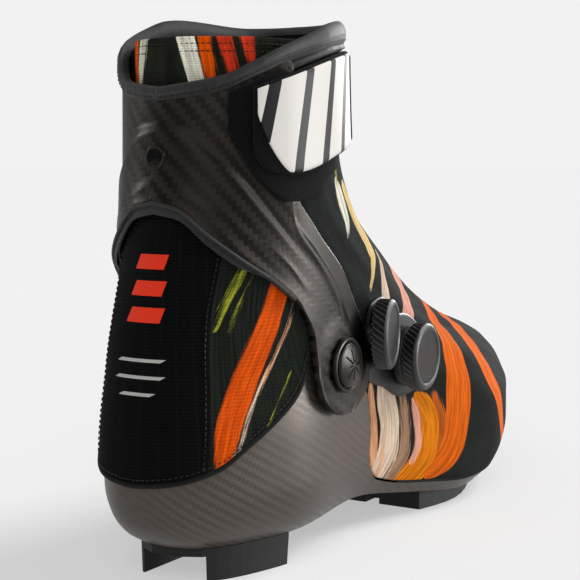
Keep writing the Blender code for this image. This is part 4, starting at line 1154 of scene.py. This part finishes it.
def dial_plate():
    """Moulded plate under both dials, with the rivet at its rear."""
    start, end = PLATE_ENDS
    y = np.linspace(start, end, 120)
    low, high = through(PLATE_LOW, y), through(PLATE_HIGH, y)
    share, drop = lipped(40, 0.035)
    z = between(low, high, share)
    turn = turn_at(np.broadcast_to(y, z.shape), z)
    ends = ease((y - start) / 3) * ease((end - y) / 3)
    out = 1.1 + 0.9 * ends - 1.0 * drop[:, None]
    shell("dial_base_plate", turn, z, out, 0.9, "plastic", "boot_base", replaced=("dial_plate",))
    spot = skin(turn_at(92.5, 75.0), 75.0, 1.6)
    button = [(0.2, 0.0), (3.0, 0.0), (3.1, 0.8), (2.7, 1.4), (1.8, 1.7), (0.2, 1.8)]
    lathe("plate_rivet", button, "face", "boot_base", spot, (1.0, 0.12, 0.0), 40)


def bolts():
    """Ankle bolts: a domed head with cut rays inside a ring, on both sides."""
    for side, name in ((1, "lateral"), (-1, "medial")):
        spot, aim = (0.0, PIVOT_Y, PIVOT_Z), (float(side), 0.0, 0.0)
        outer = ARM_INNER_X + CUFF_THICK + 0.35
        ring = [(5.4, outer), (10.3, outer), (10.8, outer + 0.5), (10.8, outer + 1.3),
                (10.4, outer + 1.9), (9.8, outer + 2.05), (9.2, outer + 1.7), (9.0, outer + 0.8),
                (5.4, outer + 0.8)]
        lathe(name + "_bolt_ring", ring, "bolt", "boot_base", spot, aim,
              replaced=(name + "_pivot_washer",), hollow=True)

        def grooves(radius, height, angle):
            share = np.abs((angle * BOLT_RAYS / (2 * math.pi) + 0.3) % 1.0 - 0.5)
            off = share * 2 * math.pi / BOLT_RAYS * radius
            cut = 1 - ease((off - 0.12) / 0.3)
            reach = ease((6.4 - radius) / 0.5) * ease((radius - 1.0) / 0.4)
            return radius, height - 0.6 * cut * reach * (height > outer + 2.2)

        dome = [(2.3, outer - 6), (4.6, outer - 0.5), (8.2, outer + 1.1), (8.7, outer + 1.4),
                (8.7, outer + 2.0), (8.3, outer + 2.6)]
        for r in np.linspace(8.0, 0.25, 30):
            dome.append((r, outer + 2.75 + 1.35 * (1 - (r / 8.0) ** 2)))
        lathe(name + "_bolt_head", dome, "bolt", "boot_base", spot, aim, 320, shape=grooves,
              replaced=(name + "_pivot_screw",))


# ---------------------------------------------------------------- frame nodes that stay

def finish_nodes():
    """Materials for the CAD's own solids, and softer edges where they show."""
    kept = {"heel_outsole": "rubber", "forefoot_outsole": "rubber", "binding_bar": "steel",
            "bar_bracket": "steel", "footbed": "foam", "lasting_board": "foam"}
    for name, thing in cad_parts.items():
        look = kept.get(name, "steel" if "pivot" in name or "shaft" in name else "plastic")
        thing.data.materials.clear()
        thing.data.materials.append(LOOKS[look])
    bevelled("heel_outsole", 0.0007)
    bevelled("forefoot_outsole", 0.0006)
    bevelled("bar_bracket", 0.0002)


# ---------------------------------------------------------------- studio

CAMERA_PLACE = (0.304, -0.5439, 0.155)
CAMERA_ANGLES = (84.8, 0.0, 31.6)
CAMERA_LENS = 86.71
BACKDROP = 0.887
WORLD_FILL = 0.30
FLOOR_GLOW = 0.455
FLOOR_REACH = 60
BOOT_MIDDLE = (0.0, 0.0, 0.09)
# Name, place, power and angle of each sun; then name, place, power and size of each soft box.
SUNS = (("sky", (0.9, 1.15, 1.35), 2.4, 0.6), ("fill", (0.5, -1.0, 0.7), 0.8, 0.9))
SOFT_BOXES = (("flank", (1.2, 0.82, 0.18), 22.0, 0.6), ("front", (-0.05, 1.5, 0.5), 12.0, 0.5),
              ("key", (1.35, 0.1, 0.75), 7.0, 0.4), ("rear", (-1.2, -0.5, 0.6), 5.0, 0.4))


def add_camera():
    """Camera behind the boot, on its outer side."""
    camera = bpy.data.objects.new("camera", bpy.data.cameras.new("camera"))
    bpy.context.scene.collection.objects.link(camera)
    camera.location = CAMERA_PLACE
    camera.rotation_euler = [math.radians(a) for a in CAMERA_ANGLES]
    camera.data.sensor_width = 36.0
    camera.data.lens = CAMERA_LENS
    camera.data.clip_start, camera.data.clip_end = 0.02, 60.0
    bpy.context.scene.camera = camera


def add_floor():
    """Plain pale paper that glows a little, so that it runs evenly into the backdrop."""
    mesh = bpy.data.meshes.new("floor")
    far = FLOOR_REACH
    mesh.from_pydata([(-far, -far, 0), (far, -far, 0), (far, far, 0), (-far, far, 0)], [],
                     [(0, 1, 2, 3)])
    floor = bpy.data.objects.new("floor", mesh)
    bpy.context.scene.collection.objects.link(floor)
    look = Look("floor_paper", 0.95, Specular_IOR_Level=0.0, Emission_Color=(1.0, 1.0, 1.0),
                Emission_Strength=FLOOR_GLOW)
    tone = look.noise(look.point(), (5.0, 5.0, 5.0), 2.0)
    look.put("Base Color", look.mix(tone, (0.44, 0.44, 0.44), (0.45, 0.45, 0.45)))
    mesh.materials.append(look.material)


def add_backdrop():
    """World that is bright where it is seen directly and lights the boot more softly."""
    world = bpy.data.worlds.new("studio")
    bpy.context.scene.world = world
    world.use_nodes = True
    wires = world.node_tree
    fill = wires.nodes["Background"]
    fill.inputs[0].default_value = (1.0, 1.0, 1.0, 1.0)
    fill.inputs[1].default_value = WORLD_FILL
    seen = wires.nodes.new("ShaderNodeBackground")
    seen.inputs[0].default_value = (BACKDROP, BACKDROP, BACKDROP, 1.0)
    path = wires.nodes.new("ShaderNodeLightPath")
    pick = wires.nodes.new("ShaderNodeMixShader")
    wires.links.new(path.outputs["Is Camera Ray"], pick.inputs[0])
    wires.links.new(fill.outputs[0], pick.inputs[1])
    wires.links.new(seen.outputs[0], pick.inputs[2])
    wires.links.new(pick.outputs[0], wires.nodes["World Output"].inputs[0])


def add_lamp(name, kind, place, target, power):
    """Lamp at a place, turned toward a target; returns its light data and its object."""
    light = bpy.data.lights.new(name, kind)
    light.energy = power
    thing = bpy.data.objects.new(name, light)
    bpy.context.scene.collection.objects.link(thing)
    thing.location = place
    aim = Vector(target) - Vector(place)
    thing.rotation_euler = aim.to_track_quat("-Z", "Y").to_euler()
    return light, thing


def studio():
    """Camera, floor, backdrop and lamps; the soft boxes only make highlights."""
    add_camera()
    add_floor()
    add_backdrop()
    for name, place, power, angle in SUNS:
        light, _ = add_lamp(name, "SUN", place, (0.0, 0.0, 0.0), power)
        light.angle = angle
    for name, place, power, size in SOFT_BOXES:
        light, thing = add_lamp(name, "AREA", place, BOOT_MIDDLE, power)
        light.size = size
        thing.visible_diffuse = False
    bpy.context.scene.view_settings.view_transform = "Standard"


studio()
finish_nodes()
chassis()
for make, (start, end) in ((upper, ANKLE_BEND), (bootie, ANKLE_BEND),
                           (ankle_gusset, GUSSET_BEND)):
    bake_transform(make())
heel_panel()
panel_seams()
rear_marks()
sole_shadow_line()
cuff()
cuff_hem()
rear_hole()
rim()
lip()
collar()
strap()
strap_hardware()
strap_end()
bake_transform(strap_fold(), "strap_end", "strap_front", start=on_strap(STRAP_FOLD_TURN - 6),
         end=on_strap(STRAP_FOLD_TURN + 6))
loop_patch()
dial_plate()
dial("upper", *UPPER_DIAL, 4.2)
dial("lower", *LOWER_DIAL, 12.6)
bolts()
